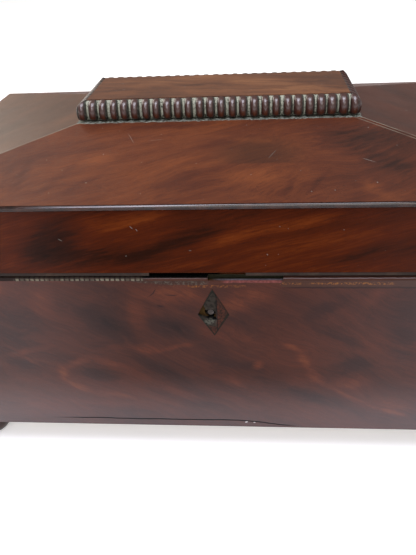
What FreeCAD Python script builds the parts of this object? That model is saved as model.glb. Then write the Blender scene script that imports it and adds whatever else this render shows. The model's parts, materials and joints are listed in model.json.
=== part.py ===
import FreeCAD, Part
import math
import os

# Sarcophagus tea caddy in mahogany. Millimetres, +Z up, +X to the right, front towards -Y.
# The origin is on the floor, under the middle of the box.

# Overall plan, over the beads of the lid
lid_width = 330.0
lid_depth = 200.0

# Heights, from the floor up
foot_height = 19.0
body_height = 110.0
lid_gap = 1.0
lid_side_height = 35.6
bead_height = 3.0
slope_rise = 15.8
gadroon_height = 10.0
cap_thickness = 1.2

# Body boards
bead_projection = 2.0
wall_thickness = 10.0
front_taper = 8.0
end_taper = 4.0
base_thickness = 6.0
edging_depth = 3.0
rim_strip_height = 2.0
lid_edging_height = 1.6
rim_break_left = -2.5
rim_break_right = 34.0
lid_break_left = -31.0
lid_break_right = 16.0

# Bun feet
foot_radius = 12.0
foot_neck_radius = 8.3
foot_pad_radius = 7.4
foot_belly_height = 8.5
foot_collar_height = 2.6
foot_front_inset = 4.0
foot_end_overhang = 3.0
spigot_radius = 3.5
spigot_length = 5.0
spigot_clearance = 0.05

# Lid
bead_depth = 5.0
bead_lap = 1.2
slope_thickness = 8.0
plateau_width = 140.0
plateau_depth = 47.0
gadroon_projection = 6.0
cap_overhang = 4.0

# Gadrooning: each reed follows part of an ellipse that bulges out and turns in again at the foot
lobe_pitch = 5.8
lobe_half_width = 2.4
lobe_root = 0.4
lobe_sides = 6
lobe_steps = 6
lobe_middle_height = 5.0
lobe_setback = 1.0
lobe_rise = 6.1
lobe_fall = 7.6
lobe_top_angle = 78.0
lobe_foot_angle = -36.0
lobe_narrowing = 0.75
ground_foot = 2.2
ground_swell = 2.8
ground_swell_height = 3.4
ground_waist = 1.9
ground_waist_height = 8.0
ground_top = 0.4

# Lock, in a mortise behind the front board
keyhole_offset = -2.0
keyhole_drop = 22.2
keyhole_radius = 2.6
keyhole_slot_width = 2.0
keyhole_slot_length = 4.4
keyhole_clearance = 0.5
lozenge_offset = -0.6
lozenge_drop = 23.5
lozenge_width = 16.0
lozenge_upper = 16.4
lozenge_lower = 14.2
lozenge_thickness = 1.4
lozenge_proud = 0.2
inlay_clearance = 0.05
# What has broken out of the plate, across and up from the middle of the keyhole
plate_break = [(-8.0, 5.4), (-3.5, 5.4), (-2.3, 2.0), (2.6, 0.0),
               (2.6, -3.9), (-3.9, -2.9), (-6.6, -1.2), (-8.0, -1.2)]
case_width = 50.0
case_height = 31.0
case_depth = 7.0
case_wall = 0.8
selvedge_length = 70.0
selvedge_thickness = 1.5
mortise_clearance = 0.1
drill_pin_radius = 1.6
link_spacing = 16.0
link_thickness = 2.5
link_width = 4.0
link_drop = 8.0
link_eye_width = 2.2
link_eye_height = 3.6
link_clearance = 0.8
bolt_travel = 4.5
bolt_finger_length = 5.0
bolt_bar_height = 3.0
bolt_bar_length = 30.0
bolt_clearance = 0.4
link_plate_length = 48.0
link_plate_thickness = 1.5

# Hinges
hinge_length = 40.0
hinge_inset = 68.0
hinge_leaf_width = 8.0
hinge_leaf_thickness = 1.2
knuckle_radius = 2.0
pin_radius = 0.9
pin_clearance = 0.05
knuckle_gap = 0.3
knuckle_recess_clearance = 0.3

# Wood screws
screw_shank_radius = 0.8
screw_head_radius = 1.7
screw_head_height = 1.0
screw_length = 5.5
screw_clearance = 0.05
hinge_screw_pitch = 13.0
selvedge_screw_pitch = 60.0
link_screw_pitch = 38.0

# Fittings inside the body
divider_thickness = 6.0
divider_pitch = 112.0
fitting_drop = 14.0
bowl_board_thickness = 6.0
tea_lid_thickness = 5.0
tea_lid_clearance = 0.6
ledge_depth = 4.0
ledge_height = 4.0
seat_gap = 0.1
bowl_hole_radius = 45.0
bowl_clearance = 1.0
bowl_lip_radius = 50.0
bowl_lip_height = 3.0
bowl_depth = 66.0
bowl_foot_radius = 26.0
bowl_swell_radius = 39.6
bowl_swell_height = 16.5
bowl_shoulder_height = 36.0
bowl_wall = 3.0
knob_radius = 7.0
knob_height = 15.0
knob_neck_radius = 3.2
knob_base_radius = 4.9
knob_head_low = 5.2
knob_head_low_radius = 4.2
knob_crown_radius = 1.5
knob_tenon_radius = 2.5
knob_tenon_length = 4.0

# Levels that follow from the sizes above
floor_of_body = foot_height
body_top = foot_height + body_height
lid_bottom = body_top + lid_gap
bead_bottom = lid_bottom + lid_side_height
slope_bottom = bead_bottom + bead_height
slope_top = slope_bottom + slope_rise
cap_bottom = slope_top + gadroon_height
cap_top = cap_bottom + cap_thickness
fitting_top = body_top - fitting_drop
keyhole_height = body_top - keyhole_drop
hinge_height = body_top + lid_gap / 2
side_half_width = lid_width / 2 - bead_projection
side_half_depth = lid_depth / 2 - bead_projection
front_lean = math.degrees(math.atan2(front_taper, body_height))

X_AXIS = FreeCAD.Vector(1, 0, 0)
Y_AXIS = FreeCAD.Vector(0, 1, 0)
Z_AXIS = FreeCAD.Vector(0, 0, 1)


def point(x, y, z):
    return FreeCAD.Vector(x, y, z)


def box(x0, x1, y0, y1, z0, z1):
    """A box between two corners."""
    return Part.makeBox(x1 - x0, y1 - y0, z1 - z0, point(x0, y0, z0))


def cylinder(radius, height, x, y, z, direction=Z_AXIS):
    return Part.makeCylinder(radius, height, point(x, y, z), direction)


def prism(corners, sweep):
    """A flat polygon pushed along a vector."""
    return Part.Face(Part.makePolygon(corners + corners[:1])).extrude(sweep)


def rectangle(half_width, half_depth, z):
    corners = [point(-half_width, -half_depth, z), point(half_width, -half_depth, z),
               point(half_width, half_depth, z), point(-half_width, half_depth, z)]
    return Part.makePolygon(corners + corners[:1])


def frustum(half_width_low, half_depth_low, z_low, half_width_high, half_depth_high, z_high):
    """A block with flat, leaning sides between two rectangles."""
    low = rectangle(half_width_low, half_depth_low, z_low)
    high = rectangle(half_width_high, half_depth_high, z_high)
    return Part.makeLoft([low, high], True, True)


def revolved(outline, x=0.0, y=0.0):
    """A turned piece: edges in the XZ plane, closed and turned round a vertical axis."""
    face = Part.Face(Part.Wire(outline))
    solid = face.revolve(point(0, 0, 0), Z_AXIS, 360)
    return solid.translated(point(x, y, 0))


def line(start, end):
    return Part.makeLine(point(start[0], 0, start[1]), point(end[0], 0, end[1]))


def arc(start, middle, end):
    ends = [point(p[0], 0, p[1]) for p in (start, middle, end)]
    return Part.Arc(*ends).toShape()


def mitre_outlines(outer_corner, inner_corner, z):
    """The plan of the front piece and of the right one, between lines through the ring's corners."""
    run = (outer_corner[0] - inner_corner[0]) / (outer_corner[1] - inner_corner[1])
    ridge = outer_corner[0] - outer_corner[1] * run
    far_y = lid_depth
    far_x = ridge + far_y * run
    front = [point(-far_x, -far_y, z), point(far_x, -far_y, z), point(ridge, 0, z), point(-ridge, 0, z)]
    right = [point(far_x, -far_y, z), point(far_x, far_y, z), point(ridge, 0, z)]
    return [Part.makePolygon(corners + corners[:1]) for corners in (front, right)]


def mitred(ring, outer_corner, inner_corner, lean=(0.0, 0.0)):
    """Cut a ring into front, back, left and right along its corners, which may lean inwards below."""
    z_low = ring.BoundBox.ZMin
    z_high = ring.BoundBox.ZMax
    low_outer = (outer_corner[0] - lean[0], outer_corner[1] - lean[1])
    low_inner = (inner_corner[0] - lean[0], inner_corner[1] - lean[1])
    low = mitre_outlines(low_outer, low_inner, z_low)
    high = mitre_outlines(outer_corner, inner_corner, z_high)
    front, right = [Part.makeLoft([a, b], True, True) for a, b in zip(low, high)]
    turn = FreeCAD.Placement(point(0, 0, 0), FreeCAD.Rotation(Z_AXIS, 180))
    back = front.transformed(turn.toMatrix())
    left = right.transformed(turn.toMatrix())
    wedges = {"front": front, "back": back, "left": left, "right": right}
    return {side: ring.common(wedge) for side, wedge in wedges.items()}


def screw(x, y, z, direction):
    """A countersunk wood screw, its head flush at z, pointing along direction (+1 up, -1 down)."""
    head = Part.makeCone(screw_head_radius, screw_shank_radius, screw_head_height,
                         point(x, y, z), Z_AXIS * direction)
    shank = cylinder(screw_shank_radius, screw_length, x, y, z, Z_AXIS * direction)
    return head.fuse(shank).removeSplitter()


def screw_hole(x, y, z, direction):
    head = Part.makeCone(screw_head_radius + screw_clearance, screw_shank_radius + screw_clearance,
                         screw_head_height, point(x, y, z), Z_AXIS * direction)
    shank = cylinder(screw_shank_radius + screw_clearance, screw_length + screw_clearance,
                     x, y, z, Z_AXIS * direction)
    return head.fuse(shank)


def on_front(shape):
    """Lay a shape, made upright about the keyhole with its face at y = 0, on the leaning front."""
    face_y = -side_half_depth + front_taper * keyhole_drop / body_height
    place = point(keyhole_offset, face_y, keyhole_height)
    lean = FreeCAD.Placement(place, FreeCAD.Rotation(X_AXIS, front_lean))
    return shape.transformed(lean.toMatrix())


def keyhole(extra, depth):
    """A round hole with a slot below it, cut from the face inwards."""
    eye = cylinder(keyhole_radius + extra, 2 * depth, 0, -depth, 0, Y_AXIS)
    slot = box(-keyhole_slot_width / 2 - extra, keyhole_slot_width / 2 + extra,
               -depth, depth, -keyhole_slot_length - extra, 0)
    return eye.fuse(slot)


def lozenge(extra):
    """The diamond plate, its side corners a little below the round of the keyhole."""
    middle = lozenge_offset - keyhole_offset
    level = keyhole_drop - lozenge_drop
    half_width = lozenge_width / 2 + extra
    corners = [point(middle, -lozenge_proud, level + lozenge_upper + extra),
               point(middle + half_width, -lozenge_proud, level),
               point(middle, -lozenge_proud, level - lozenge_lower - extra),
               point(middle - half_width, -lozenge_proud, level)]
    return prism(corners, Y_AXIS * (lozenge_thickness + extra))


nodes = {}

# The hollow of the body and the boards round it
body_half_width_low = side_half_width - end_taper
body_half_depth_low = side_half_depth - front_taper
body_outer = frustum(body_half_width_low, body_half_depth_low, floor_of_body,
                     side_half_width, side_half_depth, body_top)
cavity = frustum(body_half_width_low - wall_thickness, body_half_depth_low - wall_thickness,
                 floor_of_body,
                 side_half_width - wall_thickness, side_half_depth - wall_thickness, body_top)
walls = body_outer.cut(cavity)
body_corner = (side_half_width, side_half_depth)
body_inner_corner = (side_half_width - wall_thickness, side_half_depth - wall_thickness)

# A thin edging strip is let into the outer top edge of the boards
rim_bottom = body_top - rim_strip_height
rim_space = box(-lid_width, lid_width, -lid_depth, lid_depth, rim_bottom, body_top)
rim_core = box(-side_half_width + edging_depth, side_half_width - edging_depth,
               -side_half_depth + edging_depth, side_half_depth - edging_depth,
               rim_bottom, body_top)
rim_ring = walls.common(rim_space).cut(rim_core)
rim_ring_inner = (side_half_width - edging_depth, side_half_depth - edging_depth)
walls = walls.cut(rim_ring)

# Hinges: two butts, their pins level with the gap and flush with the back
hinge_y = side_half_depth
hinge_x = side_half_width - hinge_inset
hinge_centres = {"left": -hinge_x, "right": hinge_x}
leaf_front = hinge_y - hinge_leaf_width
screw_y = hinge_y - hinge_leaf_width / 2 - knuckle_radius / 2
knuckle_length = (hinge_length - 2 * knuckle_gap) / 3
body_leaf_floor = body_top - hinge_leaf_thickness
lid_leaf_roof = lid_bottom + hinge_leaf_thickness
hinge_screw_offsets = (-hinge_screw_pitch, 0.0, hinge_screw_pitch)


def knuckle(x0, x1):
    tube = cylinder(knuckle_radius, x1 - x0, x0, hinge_y, hinge_height, X_AXIS)
    bore = cylinder(pin_radius + pin_clearance, x1 - x0, x0, hinge_y, hinge_height, X_AXIS)
    return tube, bore


def hinge_leaf(centre, z0, z1, spans):
    """A leaf with its share of the knuckles and countersunk screw holes."""
    leaf = box(centre - hinge_length / 2, centre + hinge_length / 2, leaf_front, hinge_y, z0, z1)
    clear = cylinder(knuckle_radius + knuckle_recess_clearance, hinge_length,
                     centre - hinge_length / 2, hinge_y, hinge_height, X_AXIS)
    leaf = leaf.cut(clear)
    bores = []
    for x0, x1 in spans:
        tube, bore = knuckle(x0, x1)
        arm = box(x0, x1, hinge_y - knuckle_radius - 2 * knuckle_recess_clearance, hinge_y, z0, z1)
        leaf = leaf.fuse([tube, arm])
        bores.append(bore)
    return leaf.cut(bores)


hinge_cuts_body = []
hinge_cuts_lid = []
hinge_screws_body = []
hinge_screws_lid = []
for side, centre in hinge_centres.items():
    x_low = centre - hinge_length / 2
    x_high = centre + hinge_length / 2
    outer_low = (x_low, x_low + knuckle_length)
    outer_high = (x_high - knuckle_length, x_high)
    middle = (outer_low[1] + knuckle_gap, outer_high[0] - knuckle_gap)
    body_leaf = hinge_leaf(centre, body_leaf_floor, body_top, [outer_low, outer_high])
    lid_leaf = hinge_leaf(centre, lid_bottom, lid_leaf_roof, [middle])
    recess = cylinder(knuckle_radius + knuckle_recess_clearance, hinge_length + 2 * knuckle_gap,
                      x_low - knuckle_gap, hinge_y, hinge_height, X_AXIS)
    hinge_cuts_body += [recess, box(x_low, x_high, leaf_front, lid_depth, body_leaf_floor, body_top)]
    hinge_cuts_lid += [recess, box(x_low, x_high, leaf_front, lid_depth, lid_bottom, lid_leaf_roof)]
    for offset in hinge_screw_offsets:
        body_leaf = body_leaf.cut(screw_hole(centre + offset, screw_y, body_top, -1))
        lid_leaf = lid_leaf.cut(screw_hole(centre + offset, screw_y, lid_bottom, 1))
        hinge_cuts_body.append(screw_hole(centre + offset, screw_y, body_top, -1))
        hinge_cuts_lid.append(screw_hole(centre + offset, screw_y, lid_bottom, 1))
        hinge_screws_body.append(screw(centre + offset, screw_y, body_top, -1))
        hinge_screws_lid.append(screw(centre + offset, screw_y, lid_bottom, 1))
    nodes["hinge_leaf_body_" + side] = body_leaf
    nodes["hinge_leaf_lid_" + side] = lid_leaf
    nodes["hinge_pin_" + side] = cylinder(pin_radius, hinge_length, x_low, hinge_y, hinge_height, X_AXIS)
nodes["hinge_screws_body"] = Part.makeCompound(hinge_screws_body)
nodes["hinge_screws_lid"] = Part.makeCompound(hinge_screws_lid)

# Lock: case, selvedge, drill pin and bolt, and the mortise that takes them
case_back = -side_half_depth + wall_thickness + front_taper * (fitting_drop / body_height)
case_front = case_back - case_depth
case_top = body_top - selvedge_thickness
case_bottom = case_top - case_height
link_y = (case_front + case_back) / 2
link_centres = (-link_spacing / 2, link_spacing / 2)
link_foot = lid_bottom - link_drop
eye_low = link_foot + (link_width - link_eye_width) / 2
eye_high = eye_low + link_eye_height
half_case = case_width / 2

case = box(-half_case, half_case, case_front, case_back, case_bottom, case_top)
case_room = box(-half_case + case_wall, half_case - case_wall, case_front + case_wall,
                case_back - case_wall, case_bottom + case_wall, case_top)
pin_seat = cylinder(drill_pin_radius, case_wall, keyhole_offset, case_back - case_wall,
                    keyhole_height, Y_AXIS)
case_keyhole = on_front(keyhole(keyhole_clearance, wall_thickness))
front_skin = box(-half_case, half_case, case_front, case_front + case_wall, case_bottom, case_top)
nodes["lock_case"] = case.cut(case_room).cut(pin_seat).cut(front_skin.common(case_keyhole))

pin_tip = -side_half_depth + front_taper * keyhole_drop / body_height + lozenge_thickness / 2
nodes["lock_drill_pin"] = cylinder(drill_pin_radius, case_back - pin_tip,
                                   keyhole_offset, pin_tip, keyhole_height, Y_AXIS)

selvedge = box(-selvedge_length / 2, selvedge_length / 2, case_front, case_back, case_top, body_top)
for x in link_centres:
    selvedge = selvedge.cut(box(x - link_thickness / 2 - link_clearance,
                                x + link_thickness / 2 + link_clearance,
                                link_y - link_width / 2 - link_clearance,
                                link_y + link_width / 2 + link_clearance, case_top, body_top))
lock_screw_places = (-selvedge_screw_pitch / 2, selvedge_screw_pitch / 2)
lock_screw_holes = [screw_hole(x, link_y, body_top, -1) for x in lock_screw_places]
nodes["lock_selvedge"] = selvedge.cut(lock_screw_holes)
nodes["lock_screws"] = Part.makeCompound([screw(x, link_y, body_top, -1) for x in lock_screw_places])

# Bolt: a bar below the links, with a finger beside each link that slides through its eye
finger_half = link_eye_width / 2 - bolt_clearance
bar_top = link_foot - bolt_clearance
bar_bottom = bar_top - bolt_bar_height
finger_low = eye_low + bolt_clearance
finger_high = eye_high - bolt_clearance
bolt = box(-bolt_bar_length / 2, bolt_bar_length / 2, link_y - finger_half, link_y + finger_half,
           bar_bottom, bar_top)
for x in link_centres:
    finger_end = x - link_thickness / 2 - bolt_clearance
    finger = box(finger_end - bolt_finger_length, finger_end, link_y - finger_half,
                 link_y + finger_half, finger_low, finger_high)
    post = box(finger_end - bolt_finger_length, finger_end - bolt_travel + bolt_clearance,
               link_y - finger_half, link_y + finger_half, bar_top, finger_low)
    bolt = bolt.fuse([finger, post])
bolt = bolt.removeSplitter()
nodes["lock_bolt"] = bolt

# The guides carry the bolt's bar inside the case
guide_places = (-bolt_bar_length / 2 + bolt_travel, bolt_bar_length / 2 - bolt_travel)
guide_low = bar_bottom - bolt_clearance
guides = []
for x in guide_places:
    guides.append(box(x - case_wall, x + case_wall, case_front + case_wall, case_back - case_wall,
                      guide_low - 2 * case_wall, guide_low))
nodes["lock_case"] = nodes["lock_case"].fuse(guides).removeSplitter()

mortise = box(-half_case - mortise_clearance, half_case + mortise_clearance,
              case_front - mortise_clearance, case_back + wall_thickness,
              case_bottom - mortise_clearance, case_top)
selvedge_seat = box(-selvedge_length / 2, selvedge_length / 2, case_front, case_back + wall_thickness,
                    case_top, body_top)

# Escutcheon, let into the front board; a piece has broken out between its left corner and the keyhole
break_outline = [point(x, -wall_thickness, z) for x, z in plate_break]
broken_out = prism(break_outline, Y_AXIS * 2 * wall_thickness)
nodes["escutcheon"] = on_front(lozenge(0.0).cut([broken_out, keyhole(0.0, wall_thickness)]))
escutcheon_seat = on_front(lozenge(inlay_clearance))

boards = mitred(walls, body_corner, body_inner_corner, (end_taper, front_taper))
front_cuts = [mortise, selvedge_seat, escutcheon_seat, case_keyhole] + lock_screw_holes
nodes["front_panel"] = boards["front"].cut(front_cuts)
nodes["back_panel"] = boards["back"].cut(hinge_cuts_body)

rim = mitred(rim_ring, body_corner, rim_ring_inner)
rim_break = box(rim_break_left, rim_break_right, -lid_depth, 0, rim_bottom, body_top)
nodes["rim_strip_front"] = rim["front"].cut(rim_break)
nodes["rim_strip_back"] = rim["back"].cut(hinge_cuts_body)
nodes["rim_strip_left"] = rim["left"]
nodes["rim_strip_right"] = rim["right"]

# Base board inside the walls; each foot's spigot is bored up through it and the end board
base_top = floor_of_body + base_thickness
base = cavity.common(box(-lid_width, lid_width, -lid_depth, lid_depth, floor_of_body, base_top))
foot_x = body_half_width_low + foot_end_overhang - foot_radius
foot_y = body_half_depth_low - foot_front_inset - foot_radius
foot_places = {"front_left": (-foot_x, -foot_y), "front_right": (foot_x, -foot_y),
               "back_left": (-foot_x, foot_y), "back_right": (foot_x, foot_y)}
hole_radius = spigot_radius + spigot_clearance
hole_depth = spigot_length + spigot_clearance
spigot_holes = [cylinder(hole_radius, hole_depth, x, y, floor_of_body) for x, y in foot_places.values()]
nodes["base_board"] = base.cut(spigot_holes)
nodes["left_end_panel"] = boards["left"].cut(spigot_holes)
nodes["right_end_panel"] = boards["right"].cut(spigot_holes)


def bun_foot():
    """A turned bun with a short neck above it and a spigot on top."""
    neck = foot_height - foot_collar_height
    side = arc((foot_pad_radius, 0), (foot_radius, foot_belly_height), (foot_neck_radius, neck))
    outline = [line((0, 0), (foot_pad_radius, 0)), side,
               line((foot_neck_radius, neck), (foot_neck_radius, foot_height)),
               line((foot_neck_radius, foot_height), (spigot_radius, foot_height)),
               line((spigot_radius, foot_height), (spigot_radius, foot_height + spigot_length)),
               line((spigot_radius, foot_height + spigot_length), (0, foot_height + spigot_length)),
               line((0, foot_height + spigot_length), (0, 0))]
    return revolved(outline)


for corner, (x, y) in foot_places.items():
    nodes["bun_foot_" + corner] = bun_foot().translated(point(x, y, 0))

# Dividers, ledges and boards inside the body
half_pitch = divider_pitch / 2
half_divider = divider_thickness / 2
tea_lid_bottom = fitting_top - tea_lid_thickness
ledge_top = tea_lid_bottom - seat_gap
ledge_bottom = ledge_top - ledge_height
cleat_top = fitting_top - bowl_board_thickness
cavity_end = side_half_width


def inside(x0, x1, z0, z1, y0=-lid_depth, y1=lid_depth):
    """The part of the body's hollow between two upright planes and two levels."""
    return cavity.common(box(x0, x1, y0, y1, z0, z1))


def ledge_pair(x0, x1):
    """Strips along the front and back boards, as deep as the ledge at their top."""
    block = inside(x0, x1, ledge_bottom, ledge_top)
    reach = block.BoundBox.YMax - ledge_depth
    return block.cut(box(x0, x1, -reach, reach, ledge_bottom, ledge_top))


nodes["divider_left"] = inside(-half_pitch - half_divider, -half_pitch + half_divider, base_top, fitting_top)
nodes["divider_right"] = inside(half_pitch - half_divider, half_pitch + half_divider, base_top, fitting_top)
nodes["tea_lid_ledges_left"] = ledge_pair(-cavity_end, -half_pitch - half_divider)
nodes["tea_lid_ledges_right"] = ledge_pair(half_pitch + half_divider, cavity_end)
bowl_room = half_pitch - half_divider
bowl_hole = cylinder(bowl_hole_radius, bowl_board_thickness, 0, 0, cleat_top)
nodes["bowl_board"] = inside(-bowl_room, bowl_room, cleat_top, fitting_top).cut(bowl_hole)
cleats = inside(-bowl_room, bowl_room, cleat_top - ledge_height, cleat_top)
nodes["bowl_board_cleats"] = cleats.cut(box(-bowl_room + ledge_depth, bowl_room - ledge_depth,
                                            -lid_depth, lid_depth, cleat_top - ledge_height, cleat_top))

tea_room_low = half_pitch + half_divider + tea_lid_clearance
tea_lid_space = frustum(
    body_half_width_low - wall_thickness - tea_lid_clearance,
    body_half_depth_low - wall_thickness - tea_lid_clearance, floor_of_body,
    side_half_width - wall_thickness - tea_lid_clearance,
    side_half_depth - wall_thickness - tea_lid_clearance, body_top)
tea_lid_end = tea_lid_space.common(
    box(tea_room_low, lid_width, -lid_depth, lid_depth, tea_lid_bottom, fitting_top)).BoundBox.XMax
knob_x = (tea_room_low + tea_lid_end) / 2


def tea_lid(side):
    """A loose board over one tea compartment, bored for its knob."""
    span = sorted((side * tea_room_low, side * lid_width))
    board = tea_lid_space.common(box(span[0], span[1], -lid_depth, lid_depth, tea_lid_bottom, fitting_top))
    hole = cylinder(knob_tenon_radius + spigot_clearance, tea_lid_thickness, side * knob_x, 0, tea_lid_bottom)
    return board.cut(hole)


def tea_knob():
    """A turned knob: tenon, neck and a round head, standing on z = 0."""
    head_mid = (knob_height + knob_head_low) / 2
    tenon_foot = -knob_tenon_length
    head_foot = (knob_head_low_radius, knob_head_low)
    crown = (knob_crown_radius, knob_height)
    outline = [line((0, tenon_foot), (knob_tenon_radius, tenon_foot)),
               line((knob_tenon_radius, tenon_foot), (knob_tenon_radius, 0)),
               line((knob_tenon_radius, 0), (knob_base_radius, 0)),
               arc((knob_base_radius, 0), (knob_neck_radius, knob_head_low / 2), head_foot),
               arc(head_foot, (knob_radius, head_mid), crown),
               line(crown, (0, knob_height)),
               line((0, knob_height), (0, tenon_foot))]
    return revolved(outline)


for side, sign in (("left", -1), ("right", 1)):
    nodes["tea_lid_" + side] = tea_lid(sign)
    nodes["tea_knob_" + side] = tea_knob().translated(point(sign * knob_x, 0, fitting_top))


def glass_bowl():
    """A mixing bowl that hangs by its lip in the round hole of its board."""
    lip_low = fitting_top + seat_gap
    lip_top = lip_low + bowl_lip_height
    outer = bowl_hole_radius - bowl_clearance
    foot = lip_low - bowl_depth
    shoulder = foot + bowl_shoulder_height
    swell = foot + bowl_swell_height
    inner_foot = foot + bowl_wall
    outline = [line((0, foot), (bowl_foot_radius, foot)),
               arc((bowl_foot_radius, foot), (bowl_swell_radius, swell), (outer, shoulder)),
               line((outer, shoulder), (outer, lip_low)),
               line((outer, lip_low), (bowl_lip_radius, lip_low)),
               line((bowl_lip_radius, lip_low), (bowl_lip_radius, lip_top)),
               line((bowl_lip_radius, lip_top), (outer - bowl_wall, lip_top)),
               line((outer - bowl_wall, lip_top), (outer - bowl_wall, shoulder)),
               arc((outer - bowl_wall, shoulder),
                   (bowl_swell_radius - bowl_wall, swell + bowl_wall),
                   (bowl_foot_radius - bowl_wall, inner_foot)),
               line((bowl_foot_radius - bowl_wall, inner_foot), (0, inner_foot)),
               line((0, inner_foot), (0, foot))]
    return revolved(outline)


nodes["glass_bowl"] = glass_bowl()

# Lid: four side boards with an edging strip round their foot
lid_ring = box(-side_half_width, side_half_width, -side_half_depth, side_half_depth, lid_bottom, bead_bottom)
lid_room = box(-side_half_width + wall_thickness, side_half_width - wall_thickness,
               -side_half_depth + wall_thickness, side_half_depth - wall_thickness,
               lid_bottom, bead_bottom)
lid_ring = lid_ring.cut(lid_room)
lid_edging_top = lid_bottom + lid_edging_height
lid_edging = box(-side_half_width, side_half_width, -side_half_depth, side_half_depth,
                 lid_bottom, lid_edging_top)
lid_edging = lid_edging.cut(box(-side_half_width + edging_depth, side_half_width - edging_depth,
                                -side_half_depth + edging_depth, side_half_depth - edging_depth,
                                lid_bottom, lid_edging_top))
lid_break = box(lid_break_left, lid_break_right, -lid_depth, 0, lid_bottom, lid_edging_top)

# Link plate under the front of the lid, with two eyes that drop into the lock
link_plate_top = lid_bottom + link_plate_thickness
link_plate_seat = box(-link_plate_length / 2, link_plate_length / 2, case_front, case_back,
                      lid_bottom, link_plate_top)
link_screw_places = (-link_screw_pitch / 2, link_screw_pitch / 2)
link_screw_holes = [screw_hole(x, link_y, lid_bottom, 1) for x in link_screw_places]
links = []
eyes = []
for x in link_centres:
    link_x0 = x - link_thickness / 2
    link_x1 = x + link_thickness / 2
    links.append(box(link_x0, link_x1, link_y - link_width / 2, link_y + link_width / 2,
                     link_foot, lid_bottom))
    eyes.append(box(link_x0, link_x1, link_y - link_eye_width / 2, link_y + link_eye_width / 2,
                    eye_low, eye_high))
nodes["link_plate"] = link_plate_seat.fuse(links).cut(eyes + link_screw_holes).removeSplitter()
nodes["link_plate_screws"] = Part.makeCompound([screw(x, link_y, lid_bottom, 1) for x in link_screw_places])

lid_cuts = hinge_cuts_lid + link_screw_holes + [lid_edging, link_plate_seat]
lid_sides = mitred(lid_ring, body_corner, body_inner_corner)
for side, rail in lid_sides.items():
    nodes["lid_rail_" + side] = rail.cut(lid_cuts)
edging_pieces = mitred(lid_edging.cut([lid_break] + hinge_cuts_lid), body_corner, rim_ring_inner)
nodes["lid_edging"] = Part.makeCompound([s for piece in edging_pieces.values() for s in piece.Solids])

# Slopes: a hipped roof, hollow underneath, with a flat for the raised top
slope_half_width = plateau_width / 2 + gadroon_projection
slope_half_depth = plateau_depth / 2 + gadroon_projection
core_half_width = plateau_width / 2 - cap_overhang
core_half_depth = plateau_depth / 2 - cap_overhang
roof_half_width = lid_width / 2 - bead_lap
roof_half_depth = lid_depth / 2 - bead_lap
roof = frustum(roof_half_width, roof_half_depth, slope_bottom, slope_half_width, slope_half_depth, slope_top)
roof_skirt = box(-lid_width / 2 + bead_depth, lid_width / 2 - bead_depth,
                 -lid_depth / 2 + bead_depth, lid_depth / 2 - bead_depth, bead_bottom, slope_bottom)
roof_hollow = frustum(roof_half_width, roof_half_depth, slope_bottom - slope_thickness,
                      slope_half_width, slope_half_depth, slope_top - slope_thickness)
core_hole = box(-core_half_width, core_half_width, -core_half_depth, core_half_depth, bead_bottom, slope_top)
roof_shell = roof.fuse(roof_skirt).cut([roof_hollow, core_hole])
slopes = mitred(roof_shell, (roof_half_width, roof_half_depth), (slope_half_width, slope_half_depth))
for side, slope in slopes.items():
    nodes["slope_panel_" + side] = slope.removeSplitter()

# Bead between the sides and the slopes, round in front
bead_mid = (bead_bottom + slope_bottom) / 2


def bead_rail(length, half_span):
    """A straight bead along X, its round nose at y = -half_span."""
    nose = -half_span + bead_height / 2
    back = -half_span + bead_depth
    low = [point(0, nose, bead_bottom), point(0, -half_span, bead_mid), point(0, nose, slope_bottom)]
    edges = [Part.Arc(*low).toShape(), Part.makeLine(low[2], point(0, back, slope_bottom)),
             Part.makeLine(point(0, back, slope_bottom), point(0, back, bead_bottom)),
             Part.makeLine(point(0, back, bead_bottom), low[0])]
    face = Part.Face(Part.Wire(edges)).translated(point(-length / 2, 0, 0))
    return face.extrude(X_AXIS * length)


def around(piece, degrees):
    turned = piece.copy()
    turned.rotate(point(0, 0, 0), Z_AXIS, degrees)
    return turned


front_bead = bead_rail(lid_width, lid_depth / 2)
end_bead = bead_rail(lid_depth, lid_width / 2)
bead_corner = (lid_width / 2, lid_depth / 2)
bead_inner = (lid_width / 2 - bead_depth, lid_depth / 2 - bead_depth)
nodes["lid_bead_front"] = mitred(front_bead, bead_corner, bead_inner)["front"]
nodes["lid_bead_back"] = mitred(around(front_bead, 180), bead_corner, bead_inner)["back"]
nodes["lid_bead_left"] = mitred(around(end_bead, -90), bead_corner, bead_inner)["left"]
nodes["lid_bead_right"] = mitred(around(end_bead, 90), bead_corner, bead_inner)["right"]

# Raised top: a core let into the roof, a thin cap over it and gadrooned strips round it
nodes["plateau_core"] = box(-core_half_width, core_half_width, -core_half_depth, core_half_depth,
                            slope_top - slope_thickness, cap_bottom)
nodes["plateau_cap"] = box(-plateau_width / 2, plateau_width / 2, -plateau_depth / 2, plateau_depth / 2,
                           cap_bottom, cap_top)

lobe_bulge = gadroon_projection + lobe_setback


def lobe_section(half_span, angle):
    """A half-round slice of a reed, in a plane through the axis of its ellipse."""
    across = math.cos(math.radians(angle))
    up = math.sin(math.radians(angle))
    axis = point(0, half_span - lobe_setback, slope_top + lobe_middle_height)
    crest = point(0, lobe_bulge * across, (lobe_rise if up > 0 else lobe_fall) * up)
    half_width = lobe_half_width * math.sqrt(math.cos(math.radians(lobe_narrowing * angle)))
    corners = []
    for k in range(lobe_sides + 1):
        turn = math.pi * k / lobe_sides
        reach = lobe_root + (1 - lobe_root) * math.sin(turn)
        corners.append(axis + X_AXIS * half_width * math.cos(turn) + crest * reach)
    return Part.makePolygon(corners + corners[:1])


def lobe(half_span):
    """One reed on a strip along X, bulging towards -Y from the cap's edge at half_span."""
    step = (lobe_foot_angle - lobe_top_angle) / lobe_steps
    sections = [lobe_section(half_span, lobe_top_angle + k * step) for k in range(lobe_steps + 1)]
    return around(Part.makeLoft(sections, True, True), 180)


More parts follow.
